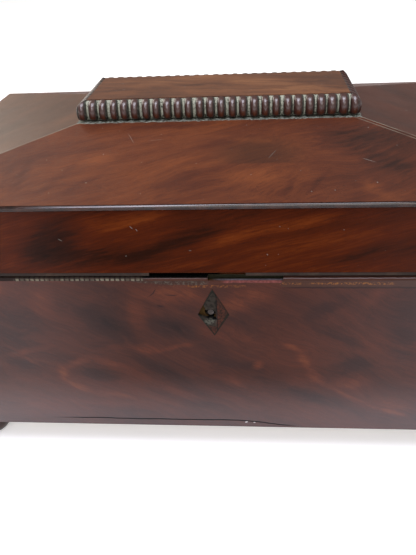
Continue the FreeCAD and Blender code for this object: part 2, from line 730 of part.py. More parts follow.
def ground(half_span, length):
    """The strip behind the reeds along X, swelling at its foot."""
    outline = [(-cap_overhang, 0.0), (ground_foot, 0.0), (ground_swell, ground_swell_height),
               (ground_waist, ground_waist_height), (ground_top, gadroon_height),
               (-cap_overhang, gadroon_height)]
    corners = [point(-length / 2, -half_span - out, slope_top + up) for out, up in outline]
    return prism(corners, X_AXIS * length)


gadroon_corner = (plateau_width / 2 + gadroon_projection, plateau_depth / 2 + gadroon_projection)
gadroon_inner = (core_half_width, core_half_depth)


def gadroon(length, half_span, strip):
    """A mitred strip with its row of reeds, as many as the pitch allows along the cap's edge."""
    gaps = math.floor(length / lobe_pitch)
    reed = lobe(half_span).cut(nodes["plateau_cap"])
    reeds = [reed.translated(point((k - gaps / 2) * lobe_pitch, 0, 0)) for k in range(gaps + 1)]
    return strip.fuse(reeds)


def corner_lobe(sign):
    """The reed that stands on a front corner, turned to face along the mitre."""
    reed = around(lobe(0.0), 45 * sign).translated(point(sign * plateau_width / 2, -plateau_depth / 2, 0))
    return reed.cut(nodes["plateau_cap"])


front_strip = mitred(ground(plateau_depth / 2, plateau_width + 2 * gadroon_projection),
                     gadroon_corner, gadroon_inner)["front"]
end_strip_blank = ground(plateau_width / 2, plateau_depth + 2 * gadroon_projection)
right_strip = mitred(around(end_strip_blank, 90), gadroon_corner, gadroon_inner)["right"]
end_strip = around(right_strip, -90)
front_gadroon = gadroon(plateau_width, plateau_depth / 2, front_strip)
end_gadroon = gadroon(plateau_depth, plateau_width / 2, end_strip)
corner_lobes = [corner_lobe(-1), corner_lobe(1)]
nodes["gadroon_front"] = front_gadroon.fuse(corner_lobes)
nodes["gadroon_back"] = around(nodes["gadroon_front"], 180)
end_gadroon_right = around(end_gadroon, 90).cut([nodes["gadroon_front"], nodes["gadroon_back"]])
nodes["gadroon_right"] = end_gadroon_right
nodes["gadroon_left"] = around(end_gadroon_right, 180)

os.makedirs("parts", exist_ok=True)
for name, shape in nodes.items():
    shape.exportStep("parts/" + name + ".step")
    solids = len(shape.Solids)
    print(name, "solids", solids, "volume", round(shape.Volume, 1), "valid", shape.isValid())
print("nodes", len(nodes))
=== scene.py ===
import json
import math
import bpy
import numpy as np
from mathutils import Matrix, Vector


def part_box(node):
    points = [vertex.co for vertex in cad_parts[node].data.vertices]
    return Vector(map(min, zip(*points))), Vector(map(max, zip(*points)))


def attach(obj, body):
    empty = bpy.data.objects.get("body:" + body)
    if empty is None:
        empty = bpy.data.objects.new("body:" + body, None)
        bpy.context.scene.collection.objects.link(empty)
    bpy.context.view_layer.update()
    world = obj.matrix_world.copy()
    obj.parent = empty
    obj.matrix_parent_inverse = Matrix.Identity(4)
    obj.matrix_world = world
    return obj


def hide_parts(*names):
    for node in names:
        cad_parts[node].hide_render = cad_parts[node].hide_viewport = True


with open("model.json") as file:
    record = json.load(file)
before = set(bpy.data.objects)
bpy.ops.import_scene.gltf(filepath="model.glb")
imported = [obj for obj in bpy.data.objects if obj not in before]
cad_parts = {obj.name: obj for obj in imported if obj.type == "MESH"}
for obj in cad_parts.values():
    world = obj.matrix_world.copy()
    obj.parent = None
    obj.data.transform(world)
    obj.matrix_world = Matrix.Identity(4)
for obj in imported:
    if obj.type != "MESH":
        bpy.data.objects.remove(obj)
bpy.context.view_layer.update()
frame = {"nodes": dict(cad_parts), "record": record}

# %% [markdown]
# # A sarcophagus tea caddy
# The box is a tapered mahogany chest on bun feet. Its hinged lid rises in four hipped slopes to a
# small raised panel with carved gadrooning round it. The solids come ready made, in metres, so this
# script gives them their finishes, and rebuilds the gadrooning and the bead, which need a finer mesh.
# Lengths on the box are in millimetres, from its middle and up from the floor. FAR is a length that is
# longer than anything here, for directions in which a pattern should not change.

MM = 0.001
FAR = 1000
nodes = frame["nodes"]

# %% [markdown]
# ## Camera
# The photograph was taken from a little above the lid, close enough for strong perspective. A lens is
# easiest to place with a position, three angles and a focal length counted in pixels of the picture,
# because those can be fitted to edges measured in the photograph.

# %% Camera at the photograph's angle
PICTURE_HEIGHT_PX = 555
FOCAL_LENGTH_PX = 585
CAMERA_PLACE = Vector((0.0212, -0.3362, 0.2803))
PITCH_DOWN, YAW_RIGHT, ROLL = 0.5638, -0.098, -0.0546
SENSOR_MM = 36
NEAREST_SEEN = 10 * MM


def camera_axes(pitch, yaw, roll):
    """Right, up and backward axes: look along +Y, tip down by pitch, turn by yaw, then roll."""
    forward = Vector((math.sin(yaw) * math.cos(pitch), math.cos(yaw) * math.cos(pitch), -math.sin(pitch)))
    level = Vector((math.cos(yaw), -math.sin(yaw), 0))
    above = level.cross(forward)
    right = level * math.cos(roll) + above * math.sin(roll)
    return right, -level * math.sin(roll) + above * math.cos(roll), -forward


camera_data = bpy.data.cameras.new("photo_camera")
camera_data.sensor_fit = "VERTICAL"
camera_data.sensor_height = SENSOR_MM
camera_data.lens = FOCAL_LENGTH_PX / PICTURE_HEIGHT_PX * SENSOR_MM
camera_data.clip_start = NEAREST_SEEN
camera = bpy.data.objects.new("photo_camera", camera_data)
bpy.context.collection.objects.link(camera)
camera.matrix_world = Matrix(camera_axes(PITCH_DOWN, YAW_RIGHT, ROLL)).transposed().to_4x4()
camera.location = CAMERA_PLACE
bpy.context.scene.camera = camera
print("camera lens", round(camera_data.lens, 2), "mm")

# %% [markdown]
# ## A short way to write shader nodes
# A wood finish can need hundreds of nodes. Wiring them by hand hides the idea, so a small class holds
# one material and gives each kind of node a plain name. Most helpers return an output socket, so that
# they can be written inside each other as in arithmetic. The first class does the sums, and the second
# makes the patterns and lays colours over each other.


# %% Shader sums
class Sums:
    """Nodes that reckon with sockets and numbers."""

    def __init__(self, name):
        self.material = bpy.data.materials.new(name)
        self.material.use_nodes = True
        self.tree = self.material.node_tree
        self.shader = self.tree.nodes["Principled BSDF"]
        self.place = self.tree.nodes.new("ShaderNodeTexCoord").outputs["Object"]
        self.axes = self.split(self.place)
        self.colour = None

    def feed(self, socket, value):
        if isinstance(value, bpy.types.NodeSocket):
            self.tree.links.new(value, socket)
        elif hasattr(socket.default_value, "__len__") and len(socket.default_value) == 4:
            socket.default_value = (*value, 1)
        else:
            socket.default_value = value

    def node(self, kind, inputs, **settings):
        """A new node: its settings first, then a value or a socket for each of its inputs."""
        node = self.tree.nodes.new("ShaderNode" + kind)
        for label, value in settings.items():
            setattr(node, label, value)
        for label, value in inputs.items():
            self.feed(node.inputs[label], value)
        return node

    def math(self, kind, a, b=0):
        return self.node("Math", {0: a, 1: b}, operation=kind).outputs[0]

    def plus(self, a, b):
        return self.math("ADD", a, b)

    def minus(self, a, b):
        return self.math("SUBTRACT", a, b)

    def times(self, product, *factors):
        for factor in factors:
            product = self.math("MULTIPLY", product, factor)
        return product

    def most(self, a, b):
        return self.math("MAXIMUM", a, b)

    def size(self, a):
        return self.math("ABSOLUTE", a)

    def vector(self, kind, a, b=(0, 0, 0)):
        node = self.node("VectorMath", {0: a, 1: b}, operation=kind)
        return node.outputs["Value" if kind == "LENGTH" else "Vector"]

    def split(self, vector):
        return self.node("SeparateXYZ", {0: vector}).outputs

    def between(self, value, low, high, start=0, end=1):
        """A smooth step: start below low, end above high."""
        limits = {"Value": value, "From Min": low, "From Max": high, "To Min": start, "To Max": end}
        return self.node("MapRange", limits, interpolation_type="SMOOTHSTEP").outputs["Result"]

    def past(self, value, low, high, start=0, end=1):
        """The same step for a length, with its limits in millimetres."""
        return self.between(value, low * MM, high * MM, start, end)

    def before(self, value, low, high):
        """A step down for a length: 1 below low, 0 above high."""
        return self.past(value, low, high, 1, 0)

    def inside(self, value, start, full, fade, end):
        """A step up for a length, and a step down further on."""
        return self.times(self.past(value, start, full), self.before(value, fade, end))


print("shader sums ready")


# %% Shader patterns
class Finish(Sums):
    """One material under construction. A pattern follows the object's own place unless given another."""

    def attribute(self, name):
        return self.node("Attribute", {}, attribute_name=name).outputs["Fac"]

    def turned(self, place, centre, degrees, lengths=(FAR, FAR, FAR)):
        """The place counted from a centre, turned about all three axes, in units of these lengths."""
        inputs = {"Vector": place or self.place, "Location": [length * MM for length in centre],
                  "Rotation": [math.radians(angle) for angle in degrees],
                  "Scale": [length * MM for length in lengths]}
        return self.node("Mapping", inputs, vector_type="TEXTURE").outputs[0]

    def noise(self, scale, detail=3, roughness=0.5, place=None, output="Fac"):
        inputs = {"Vector": place or self.place, "Scale": scale, "Detail": detail, "Roughness": roughness}
        return self.node("TexNoise", inputs).outputs[output]

    def stretched(self, lengths, detail=3, roughness=0.5, place=None, degrees=(0, 0, 0)):
        """Noise whose lumps have these lengths along X, Y and Z, after a turn."""
        return self.noise(1, detail, roughness, self.turned(place, (0, 0, 0), degrees, lengths))

    def wavy(self, lump, amount, place=None):
        """The place pushed about by smooth noise: lumps of one size, moved by up to half an amount."""
        colour = self.noise(1 / (lump * MM), 2, 0.5, place, "Color")
        push = self.vector("SUBTRACT", colour, (0.5, 0.5, 0.5))
        return self.vector("ADD", place or self.place, self.vector("MULTIPLY", push, [amount * MM] * 3))

    def near(self, centre, reach, tilt, core=0.1, place=None):
        """1 at a centre, fading to 0 on a tilted ellipsoid round it: a blot, or a stroke if it is long."""
        away = self.vector("LENGTH", self.turned(place, centre, tilt, reach))
        return self.between(away, core, 1, 1, 0)

    def ramp(self, value, stops):
        node = self.node("ValToRGB", {0: value})
        band = node.color_ramp
        while len(band.elements) < len(stops):
            band.elements.new(0.5)
        for element, (position, colour) in zip(band.elements, stops):
            element.position = position
            element.color = (*colour, 1)
        return node.outputs[0]

    def mix(self, amount, a, b):
        return self.node("Mix", {"Factor": amount, "A": a, "B": b}, data_type="RGBA").outputs["Result"]

    def paint(self, amount, colour):
        """Lays so much of a colour over what is there."""
        self.colour = self.mix(amount, self.colour, colour)

    def finish(self, roughness, height=None, depth=0.2, strength=0.4, **others):
        """The finished material: its colour, a roughness, a bump of some depth, other inputs by name."""
        if height is not None:
            inputs = {"Strength": strength, "Distance": depth * MM, "Height": height}
            others["Normal"] = self.node("Bump", inputs).outputs[0]
        for label, value in {"Base_Color": self.colour, "Roughness": roughness, **others}.items():
            self.feed(self.shader.inputs[label.replace("_", " ")], value)
        return self.material


print("shader patterns ready")

# %% [markdown]
# ## Floor and light
# Polished wood shows its surroundings, so the floor and the lamps are part of the finish. A pale floor
# gives the foot of the front its soft sheen, a tall cool lamp draws the light line on each reed, and a
# wide lamp at the back left greys the left slope. The floor and the room behind it are brighter to the
# eye than to the box, so that they read as white paper, and the floor still keeps the shadow.

# %% Floor
FLOOR_HALF = 4
FLOOR_GLOW = 0.42
PAPER_WHITE = (0.93, 0.93, 0.93)

floor_mesh = bpy.data.meshes.new("floor")
floor_corners = [(x * FLOOR_HALF, y * FLOOR_HALF, 0) for x, y in ((-1, -1), (1, -1), (1, 1), (-1, 1))]
floor_mesh.from_pydata(floor_corners, [], [(0, 1, 2, 3)])
paper = Finish("white_paper")
rays = paper.node("LightPath", {}).outputs
seen = rays["Is Camera Ray"]
for kind in ("Is Glossy Ray", "Is Transmission Ray"):
    seen = paper.most(seen, rays[kind])
paper.colour = PAPER_WHITE
floor_mesh.materials.append(paper.finish(0.9, Emission_Color=(1, 1, 1),
                                         Emission_Strength=paper.times(seen, FLOOR_GLOW)))
floor = bpy.data.objects.new("floor", floor_mesh)
bpy.context.collection.objects.link(floor)
print("floor", 2 * FLOOR_HALF, "m wide")

# %% Lamps and world
ROOM_LIGHT, ROOM_SEEN = 0.3, 1.1
ROOM_WHITE = (0.92, 0.91, 0.88, 1)


def lamp(name, place, target, size, watts, colour):
    """A rectangular lamp at place, facing target."""
    data = bpy.data.lights.new(name, "AREA")
    data.shape = "RECTANGLE"
    data.size, data.size_y = size
    data.energy = watts
    data.color = colour
    holder = bpy.data.objects.new(name, data)
    holder.location = place
    holder.rotation_euler = (Vector(target) - Vector(place)).to_track_quat("-Z", "Y").to_euler()
    bpy.context.collection.objects.link(holder)


lamp("window", (-1.5, 1, 1.2), (0, 0, 0.12), (1.6, 1.2), 24, (1, 0.95, 0.86))
lamp("overhead", (-0.1, -0.5, 2.2), (0, 0, 0.1), (1.5, 1.1), 31, (0.87, 0.88, 1))
lamp("tall_softbox", (-0.45, -1.25, 1.75), (0, 0, 0.19), (0.42, 1.9), 15, (0.88, 0.85, 1))
lamp("front_fill", (0.4, -2.4, 1.5), (0, 0, 0.1), (2, 1.2), 18, (1, 0.97, 0.94))
world = bpy.data.worlds.new("studio")
bpy.context.scene.world = world
world.use_nodes = True
backdrop = world.node_tree.nodes["Background"]
backdrop.inputs["Color"].default_value = ROOM_WHITE
eye = world.node_tree.nodes.new("ShaderNodeLightPath").outputs["Is Camera Ray"]
white = world.node_tree.nodes.new("ShaderNodeMapRange")
white.inputs["To Min"].default_value = ROOM_LIGHT
white.inputs["To Max"].default_value = ROOM_SEEN
world.node_tree.links.new(eye, white.inputs["Value"])
world.node_tree.links.new(white.outputs["Result"], backdrop.inputs["Strength"])
bpy.context.scene.view_settings.view_transform = "Standard"

# %% [markdown]
# ## Mahogany
# Flame mahogany is cut where a branch leaves the trunk, so its grain bends in plumes. Broad patches,
# streaks along the grain, fine threads and short dark pores share one wavy place, so that they bend
# together. Some panels add strokes of their own: long thin ones are veins, round ones are blots. A stroke
# lightens or darkens one tone, and a ramp turns the tone into the colours of the wood.

# %% Colours of the wood
DARKEST = (0.0135, 0.007, 0.0055)
WOOD_TONES = [
    (0.02, DARKEST), (0.27, (0.036, 0.0135, 0.009)), (0.48, (0.082, 0.0235, 0.012)),
    (0.7, (0.16, 0.046, 0.0165)), (0.98, (0.3, 0.105, 0.036))]
RED_TONES = [
    (0.02, (0.01, 0.0036, 0.002)), (0.27, (0.026, 0.0066, 0.003)), (0.48, (0.064, 0.0118, 0.0036)),
    (0.7, (0.122, 0.0255, 0.0052)), (0.98, (0.215, 0.062, 0.012))]
CAP_TONES = [
    (0.02, DARKEST), (0.27, (0.034, 0.016, 0.0095)), (0.48, (0.078, 0.029, 0.0135)),
    (0.7, (0.15, 0.056, 0.022)), (0.98, (0.26, 0.112, 0.044))]
DUST = (0.3, 0.28, 0.25)
print("tones", len(WOOD_TONES), len(RED_TONES), len(CAP_TONES))

# %% Mahogany finish
FRONT_Y, ROOF_Z = -96, 178
PATCHES = ((75, 30, 30), 3, 0.55)
STREAKS = ((55, 4.5, 4.5), 3, 0.55)
THREADS = ((22, 0.9, 0.9), 3, 0.6)
PORES = ((5, 0.3, 0.3), 2, 0.5)
BREAKS = ((20, 3.4, 3.4), 4, 0.65)


def mahogany(name, grain, start=(0, 0, 0), tone=0.47, figure=(0.8, 0.25, 0.14), strokes=(), scratches=(),
             tones=WOOD_TONES, bend=1, specks=0.7, sheen=0.36, polish=0.5, tint=(1, 1, 1), wear=None):
    """Polished veneer. grain turns the pattern's X along the fibres; figure is how far patches, streaks
    and threads swing the tone; strokes are (centre, reach, tilt, amount); bend is how wavy it all is;
    polish is a specular level or a function that makes one; wear, if given, paints wear, and on some boards
    painted shade, and changes the colour, roughness and height last."""
    make = Finish(name)
    fibre = make.turned(make.wavy(13, 3.5 * bend, make.wavy(55, 22 * bend)), start, grain)
    shade = tone
    for layer, share in zip((PATCHES, STREAKS, THREADS), figure):
        shade = make.plus(make.times(make.minus(make.stretched(*layer, fibre), 0.5), share), shade)
    inked = make.wavy(4, 1.8 * bend, make.wavy(16, 5 * bend))
    total = 0
    for centre, reach, tilt, amount in strokes:
        total = make.plus(make.times(make.near(centre, reach, tilt, 0.1, inked), amount), total)
    broken = make.between(make.stretched(*BREAKS, fibre), 0.28, 0.68, 0.4, 1.1)
    shade = make.plus(make.times(broken, total), shade)
    make.colour = make.ramp(shade, tones)
    pores = make.between(make.stretched(*PORES, fibre), 0.56, 0.7)
    make.paint(make.times(pores, 0.35), DARKEST)
    speck = make.noise(520, 1)
    make.paint(make.between(speck, 0.785, 0.805, 0, specks), DUST)
    for centre, reach, tilt, amount in scratches:
        make.paint(make.times(make.near(centre, reach, tilt, 0.5), amount), DUST)
    smear = make.noise(55, 5, 0.65)
    rough = make.plus(make.times(smear, 0.2), sheen - 0.1)
    height = make.minus(make.times(smear, 0.5), make.times(pores, 0.6))
    if wear is not None:
        rough, height = wear(make, rough, height)
    specular = polish(make) if callable(polish) else polish
    return make.finish(rough, height, 0.22, 0.25, Specular_Tint=tint, Specular_IOR_Level=specular)


def upright(rows):
    """Strokes on an upright front: x, z, length, width, degrees of rise to the right, amount."""
    return [((x, FRONT_Y, z), (long, FAR, wide), (0, -rise, 0), amount)
            for x, z, long, wide, rise, amount in rows]


def lying(rows):
    """Strokes on a slope or flat, as seen from above: x, y, length, width, degrees of turn, amount."""
    return [((x, y, ROOF_Z), (long, wide, FAR), (0, 0, turn), amount)
            for x, y, long, wide, turn, amount in rows]


print("grain layers", PATCHES, STREAKS, THREADS, PORES, BREAKS)

# %% [markdown]
# ## Front of the body
# The front is one sheet of flame veneer. Its thin red veins loop round dark pools. A picture could be
# pasted on, but strokes laid after the photograph's figure stay sharp from any distance, and each can
# be changed alone.

# %% Strokes on the front
front_veins = [
    (-55, 82, 14, 3.6, 4, 0.1), (-37, 81.5, 13, 5, -8, 0.22), (-20, 83, 15, 2.8, 15, 0.18),
    (-48, 88, 8, 1.8, -62, 0.14), (-60, 71, 13, 4, -22, 0.17), (-77, 71, 13, 4.4, 24, 0.2),
    (-88, 63, 9, 5, 78, 0.22), (-81, 53, 14, 3.8, -29, 0.18), (-58, 45, 20, 3.4, -12, 0.12),
    (-104, 79, 21, 3, 13, 0.17), (-103, 71, 11, 2.2, -40, 0.15),
    (39, 83, 9, 3, -33, 0.16), (46, 75, 9, 4.4, -68, 0.19), (53, 62, 14, 5.4, -57, 0.2),
    (71, 47, 20, 3, -30, 0.16), (96, 35, 19, 2.6, -19, 0.16), (21, 70, 6, 4.2, 43, 0.22)]
front_glows = [
    (-40, 106, 19, 8, -86, 0.17), (-21, 118, 28, 9, 0, 0.2), (-112, 123, 9, 7, 0, 0.14),
    (-88, 115, 14, 9, 60, 0.12), (-67, 114, 11, 6, 25, 0.08), (14, 115, 24, 11, 25, 0.22),
    (78, 117, 12, 6, 53, 0.12), (72, 57, 17, 7, 8, 0.16), (97, 38, 26, 9, -15, 0.18),
    (-20, 46, 17, 6, -23, 0.14), (-105, 34, 44, 12, -8, 0.12), (10, 92, 34, 10, -6, 0.08),
    (-70, 38, 40, 5, -6, 0.1), (45, 60, 16, 10, -45, 0.1), (8, 57, 12, 7, -35, 0.12)]
front_pools = [
    (-57, 99, 24, 10, -41, -0.16), (-22, 97, 17, 11, -8, -0.2), (-107, 98, 24, 20, -75, -0.16),
    (-67, 61, 17, 7.5, -6, -0.18), (-105, 67, 19, 7, -14, -0.16), (-31, 66, 28, 7, -35, -0.14),
    (55, 109, 20, 7, 35, -0.12), (72, 71, 19, 8, 12, -0.16), (52, 45, 26, 7, -20, -0.16),
    (97, 86, 30, 16, -78, -0.14), (6, 72, 24, 6, -20, -0.12), (62, 92, 24, 8, -30, -0.1)]
front_scores = [
    (-31, 119, 5, 0.5, 50, -0.4), (-21, 117.5, 4, 0.5, 8, -0.35), (-27, 111, 2.6, 0.9, -10, -0.35)]
foot_chips = [(15.1, 23.2, 1.1, 0.7, 30, 1), (19.8, 22.9, 0.8, 0.5, 0, 1)]
front_strokes = upright(front_veins + front_glows + front_pools + front_scores)
print("front strokes", len(front_strokes))

# %% [markdown]
# Veneer is only skin deep: where the escutcheon or the rim strip has broken away, the bare wood behind
# shows, so the finish measures how far a place lies behind the leaning face. Wear along the rim and the
# foot is painted by place. A span says where wear starts, is full, begins to fade and has gone.

# %% Places and colours of wear on the front
FACE_TOP_Y = -98
FACE_LEAN = 8 / 110
VENEER_EDGE, LEDGE_WALL, BOARD_INSIDE = (0.35, 0.6), (1.6, 2.2), (7, 9)
RIM_LEVEL = 129
RIM_EDGE = (RIM_LEVEL - 0.08, RIM_LEVEL - 0.03)
STRIP_FOOT = 127
WIDE_STRIP_LEFT, WIDE_STRIP_FOOT = (32, 34), (123, 123.4)
STRIP_SHADOW_LEFT, STRIP_SHADOW_LEVEL = (32, 40), 122.8
CRACK_LEVEL, CRACK_DROP = 24.7, 4.4
CRACK_SPAN = (-105, -80, 38, 46)
# Span and depth of the black shade painted on the rim's top in the gap under the lid, left of the lock.
GAP_SHADE_SPAN, GAP_SHADE_DEPTH = (-37, -33, 2, 5), (-93.5, -91)
GAP_SPAN = (3, 8, 32, 34)
TORN_SPAN = (-46, -38, -6, -1)
BARE_BROWN = (0.046, 0.026, 0.0085)
BARE_PINK = (0.22, 0.064, 0.058)
BARE_GREY = (0.15, 0.135, 0.15)
BARE_OLIVE = (0.026, 0.025, 0.015)
INSIDE_BROWN = (0.15, 0.055, 0.023)
WIDE_STRIP_BROWN = (0.058, 0.026, 0.016)
FLECK_ORANGE = (0.3, 0.115, 0.02)
CHIP_GREY = (0.09, 0.076, 0.056)
CHIP_DARK = (0.034, 0.018, 0.012)
CHIP_PALE = (0.55, 0.52, 0.5)
CRACK_BLACK = (0.004, 0.004, 0.005)
# Black for shade painted into the gap under the lid.
GAP_SHADE = (0.003, 0.003, 0.003)
print("rim at", RIM_LEVEL, "mm, crack at", CRACK_LEVEL, "mm")


# %% Crack, painted shade and bare wood
def behind_face(make):
    """How far a place lies behind the front, which leans back towards its foot."""
    x, y, z = make.axes
    lean = make.times(make.minus(z, RIM_LEVEL * MM), FACE_LEAN)
    return make.minus(make.plus(y, lean), FACE_TOP_Y * MM)


def foot_crack(make):
    """1 in a wavy dark line near the foot that sinks towards the right."""
    x, y, z = make.axes
    sway = make.minus(make.stretched((30, FAR, FAR)), 0.5)
    level = make.past(x, 8, 48, CRACK_LEVEL * MM, (CRACK_LEVEL - CRACK_DROP) * MM)
    level = make.plus(make.times(sway, 2 * MM), level)
    line = make.before(make.size(make.minus(z, level)), 0.25, 0.65)
    return make.times(line, make.inside(x, *CRACK_SPAN))


def rim_gap_shade(make):
    """Painted shade, black on the rim's top left of the lock, in the gap where the lid's edging no longer
    covers it.
    """
    x, y, z = make.axes
    return make.times(make.inside(x, *GAP_SHADE_SPAN), make.before(y, *GAP_SHADE_DEPTH), make.past(z, *RIM_EDGE))


def bare_wood(make, behind):
    """What shows behind the veneer: brown by the escutcheon, in the rim gap a grey ledge and an olive wall,
    and the plain wood of the rim's top, with shade painted black on it left of the lock."""
    x, y, z = make.axes
    bare = make.mix(make.past(behind, *BOARD_INSIDE), BARE_BROWN, INSIDE_BROWN)
    shelf = make.mix(make.past(x, -2, 6), BARE_BROWN, BARE_GREY)
    ledge = make.mix(make.past(behind, *LEDGE_WALL), shelf, BARE_OLIVE)
    bare = make.mix(make.past(z, STRIP_FOOT - 0.1, STRIP_FOOT - 0.05), bare, ledge)
    bare = make.mix(make.past(z, *RIM_EDGE), bare, INSIDE_BROWN)
    bare = make.mix(rim_gap_shade(make), bare, GAP_SHADE)
    grit = make.noise(800, 4, 0.7)
    return make.mix(make.between(grit, 0.45, 0.75, 0, 0.7), bare, DARKEST)


print("crack over", CRACK_SPAN, "painted_shade over", GAP_SHADE_SPAN)


# %% Wear and polish of the front
def rim_wear(make):
    """Pink wood under the gap in the rim, grey chips at its left, the lower part of a wider strip at its
    right, and orange flecks."""
    x, y, z = make.split(make.wavy(4, 0.8))
    grit = make.noise(800, 4, 0.7)
    patch = make.noise(60, 2)
    strip = make.times(make.past(x, *WIDE_STRIP_LEFT), make.past(z, *WIDE_STRIP_FOOT), 0.75)
    make.paint(strip, WIDE_STRIP_BROWN)
    under = make.past(make.size(make.minus(z, STRIP_SHADOW_LEVEL * MM)), 0.2, 0.8, 0.7, 0)
    make.paint(make.times(under, make.past(x, *STRIP_SHADOW_LEFT)), DARKEST)
    gap = make.times(make.inside(x, *GAP_SPAN), make.past(z, 125.5, 125.9))
    make.paint(make.times(gap, make.between(grit, 0.3, 0.62, 1, 0.35)), BARE_PINK)
    low = make.past(x, -42, -20, 126.2 * MM, 124.3 * MM)
    torn = make.times(make.inside(x, *TORN_SPAN), make.past(make.minus(z, low), 0, 0.6))
    make.paint(make.times(torn, 0.7), CHIP_DARK)
    chips = make.times(torn, make.between(grit, 0.46, 0.6, 0, 0.8), make.past(z, 126.2, 126.8, 1, 0.2))
    make.paint(chips, CHIP_GREY)
    depth = make.minus(z, make.past(x, 28, 34, 122.7 * MM, 124.3 * MM))
    fleck = make.times(make.between(grit, 0.46, 0.6), make.between(patch, 0.36, 0.54),
                       make.past(depth, 0, 0.5), make.before(depth, 1.2, 1.9))
    held = make.most(make.past(x, 13, 18, 0.6, 0), make.past(x, 31, 34, 0, 0.6))
    held = make.times(held, make.past(x, -40, -20))
    make.paint(make.times(fleck, held), FLECK_ORANGE)


def front_wear(make, rough, height):
    """Rim wear, a cracked foot with pale chips, and bare wood wherever the veneer is gone."""
    rim_wear(make)
    line = foot_crack(make)
    chip = 0
    for centre, reach, tilt, _ in upright(foot_chips):
        chip = make.most(make.near(centre, reach, tilt, 0.5), chip)
    make.paint(line, CRACK_BLACK)
    make.paint(chip, CHIP_PALE)
    behind = behind_face(make)
    skin = make.past(behind, *VENEER_EDGE)
    make.paint(skin, bare_wood(make, behind))
    return make.most(rough, make.times(skin, 0.75)), make.minus(height, make.times(line, 2))


def front_polish(make):
    """The foot and the left of the front mirror the paper most; the crack and bare wood do not."""
    x, y, z = make.axes
    ends = make.plus(make.past(x, -112, -35, 0.17, 0), make.past(x, 25, 112, 0.11, 0.29))
    gloss = make.math("MINIMUM", make.plus(make.past(z, 22, 66, 0.54, 0), ends), 1)
    dull = make.most(foot_crack(make), make.past(behind_face(make), *VENEER_EDGE))
    return make.times(gloss, make.minus(1, make.times(dull, 0.9)))


front_wood = mahogany("front_flame_veneer", (0, 28, 0), (30, 0, 20), 0.355, (0.46, 0.24, 0.2),
                      front_strokes, specks=0, sheen=0.38, polish=front_polish, tint=(0.98, 0.93, 1),
                      wear=front_wear)
print("front veneer nodes", len(front_wood.node_tree.nodes))

# %% [markdown]
# ## Side boards and slopes of the lid
# The lid's front board is the darkest and reddest, with straight streaks that rise to the right. The
# slopes are lighter, because they face the lamp. Two kinds of wear belong to the slopes: the hips, where
# two veneers meet in a thin pale line, and dust in the corner under the gadrooning. Both follow the plan
# of the roof, so they are worked out from the corners of the slope's own solid.

# %% Plan of the roof
slope_low, slope_high = np.array(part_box("slope_panel_front")) / MM
bead_low, bead_high = np.array(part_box("lid_bead_front")) / MM
corners = np.empty(len(nodes["slope_panel_front"].data.vertices) * 3)
nodes["slope_panel_front"].data.vertices.foreach_get("co", corners)
corners = corners.reshape(-1, 3) / MM
ridge = corners[corners[:, 2] > slope_high[2] - 0.1]
HIP_TOP = (float(ridge[:, 0].max()), float(-ridge[:, 1].min()))
HIP_FOOT = (float(slope_high[0]), float(-slope_low[1]))
SLOPE_RISE = float(slope_high[2] - bead_high[2])
SLOPE_FOOT = float(bead_high[2])
hip_run = np.subtract(HIP_FOOT, HIP_TOP)
HIP_NORMAL = (np.array([hip_run[1], -hip_run[0]]) / np.hypot(*hip_run)).tolist()
REBATE_TOP = float(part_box("lid_edging")[1][2]) / MM + 0.05
REBATE_WALL = -94.9
GRIME = (0.3, 0.33, 0.28)
GRIME_DARK = (0.04, 0.046, 0.036)
HIP_PALE = (0.21, 0.175, 0.13)
KNOT_PLACE, KNOT_REACH, KNOT_TILT = (23, -61, ROOF_Z), (30, 20, FAR), (0, 0, -3)
KNOT_EDGE = -69
KNOT_BROWN = (0.028, 0.0155, 0.0105)
print("hip from", HIP_TOP, "to", HIP_FOOT)


# %% Wear of the roof
def roof_top(make):
    """1 on the outer face of the roof, 0 under it: the outer height falls evenly from panel to foot."""
    x, y, z = make.axes
    falls = [make.math("DIVIDE", make.minus(foot * MM, make.size(value)), (foot - top) * MM)
             for value, foot, top in zip((x, y), HIP_FOOT, HIP_TOP)]
    share = make.math("MINIMUM", make.math("MINIMUM", *falls), 1)
    outer = make.plus(make.times(share, SLOPE_RISE * MM), SLOPE_FOOT * MM)
    return make.before(make.minus(outer, z), 1.5, 3)


def roof_wear(make, rough, height):
    """Pale lines along the hips, doubled on the right, a dark knot that ends at a crisp edge on the front
    slope, and dust round the foot of the gadrooning."""
    outside = roof_top(make)
    x, y, z = make.split(make.wavy(18, 0.5))
    out_x, out_y = (make.minus(make.size(value), top * MM) for value, top in zip((x, y), HIP_TOP))
    hip = make.plus(make.times(out_x, HIP_NORMAL[0]), make.times(out_y, HIP_NORMAL[1]))
    first = make.before(make.size(hip), 0.15, 0.55)
    beside = make.size(make.plus(hip, 2.1 * MM))
    second = make.times(make.past(beside, 0.1, 0.5, 0.8, 0), make.past(x, 0, 10))
    kept = make.between(make.noise(90, 2), 0.25, 0.6, 0.3, 0.9)
    joint = make.times(make.most(first, second), kept, make.past(y, -10, 10, 1, 0.1), outside)
    make.paint(joint, HIP_PALE)
    knot = make.near(KNOT_PLACE, KNOT_REACH, KNOT_TILT, 0.2, make.wavy(9, 3))
    knot = make.times(knot, make.past(y, KNOT_EDGE - 0.8, KNOT_EDGE + 0.8), outside, 0.52)
    make.paint(knot, KNOT_BROWN)
    ragged = make.times(make.noise(420, 4, 0.7), 3 * MM)
    clear = make.plus(make.most(out_x, out_y), ragged)
    dusty = make.times(make.past(clear, 1, 2.2, 0.9, 0), outside)
    patchy = make.between(make.noise(650, 3, 0.6), 0.36, 0.6)
    make.paint(dusty, make.mix(patchy, GRIME_DARK, GRIME))
    return make.most(rough, make.times(dusty, 0.9)), make.plus(height, make.times(dusty, 0.8))


def slope_polish(make):
    """The left of the front slope is rubbed duller than the rest."""
    x, y, z = make.axes
    return make.plus(make.past(x, -125, -45, 0.07, 0.16), make.past(x, 25, 80, 0, 0.09))


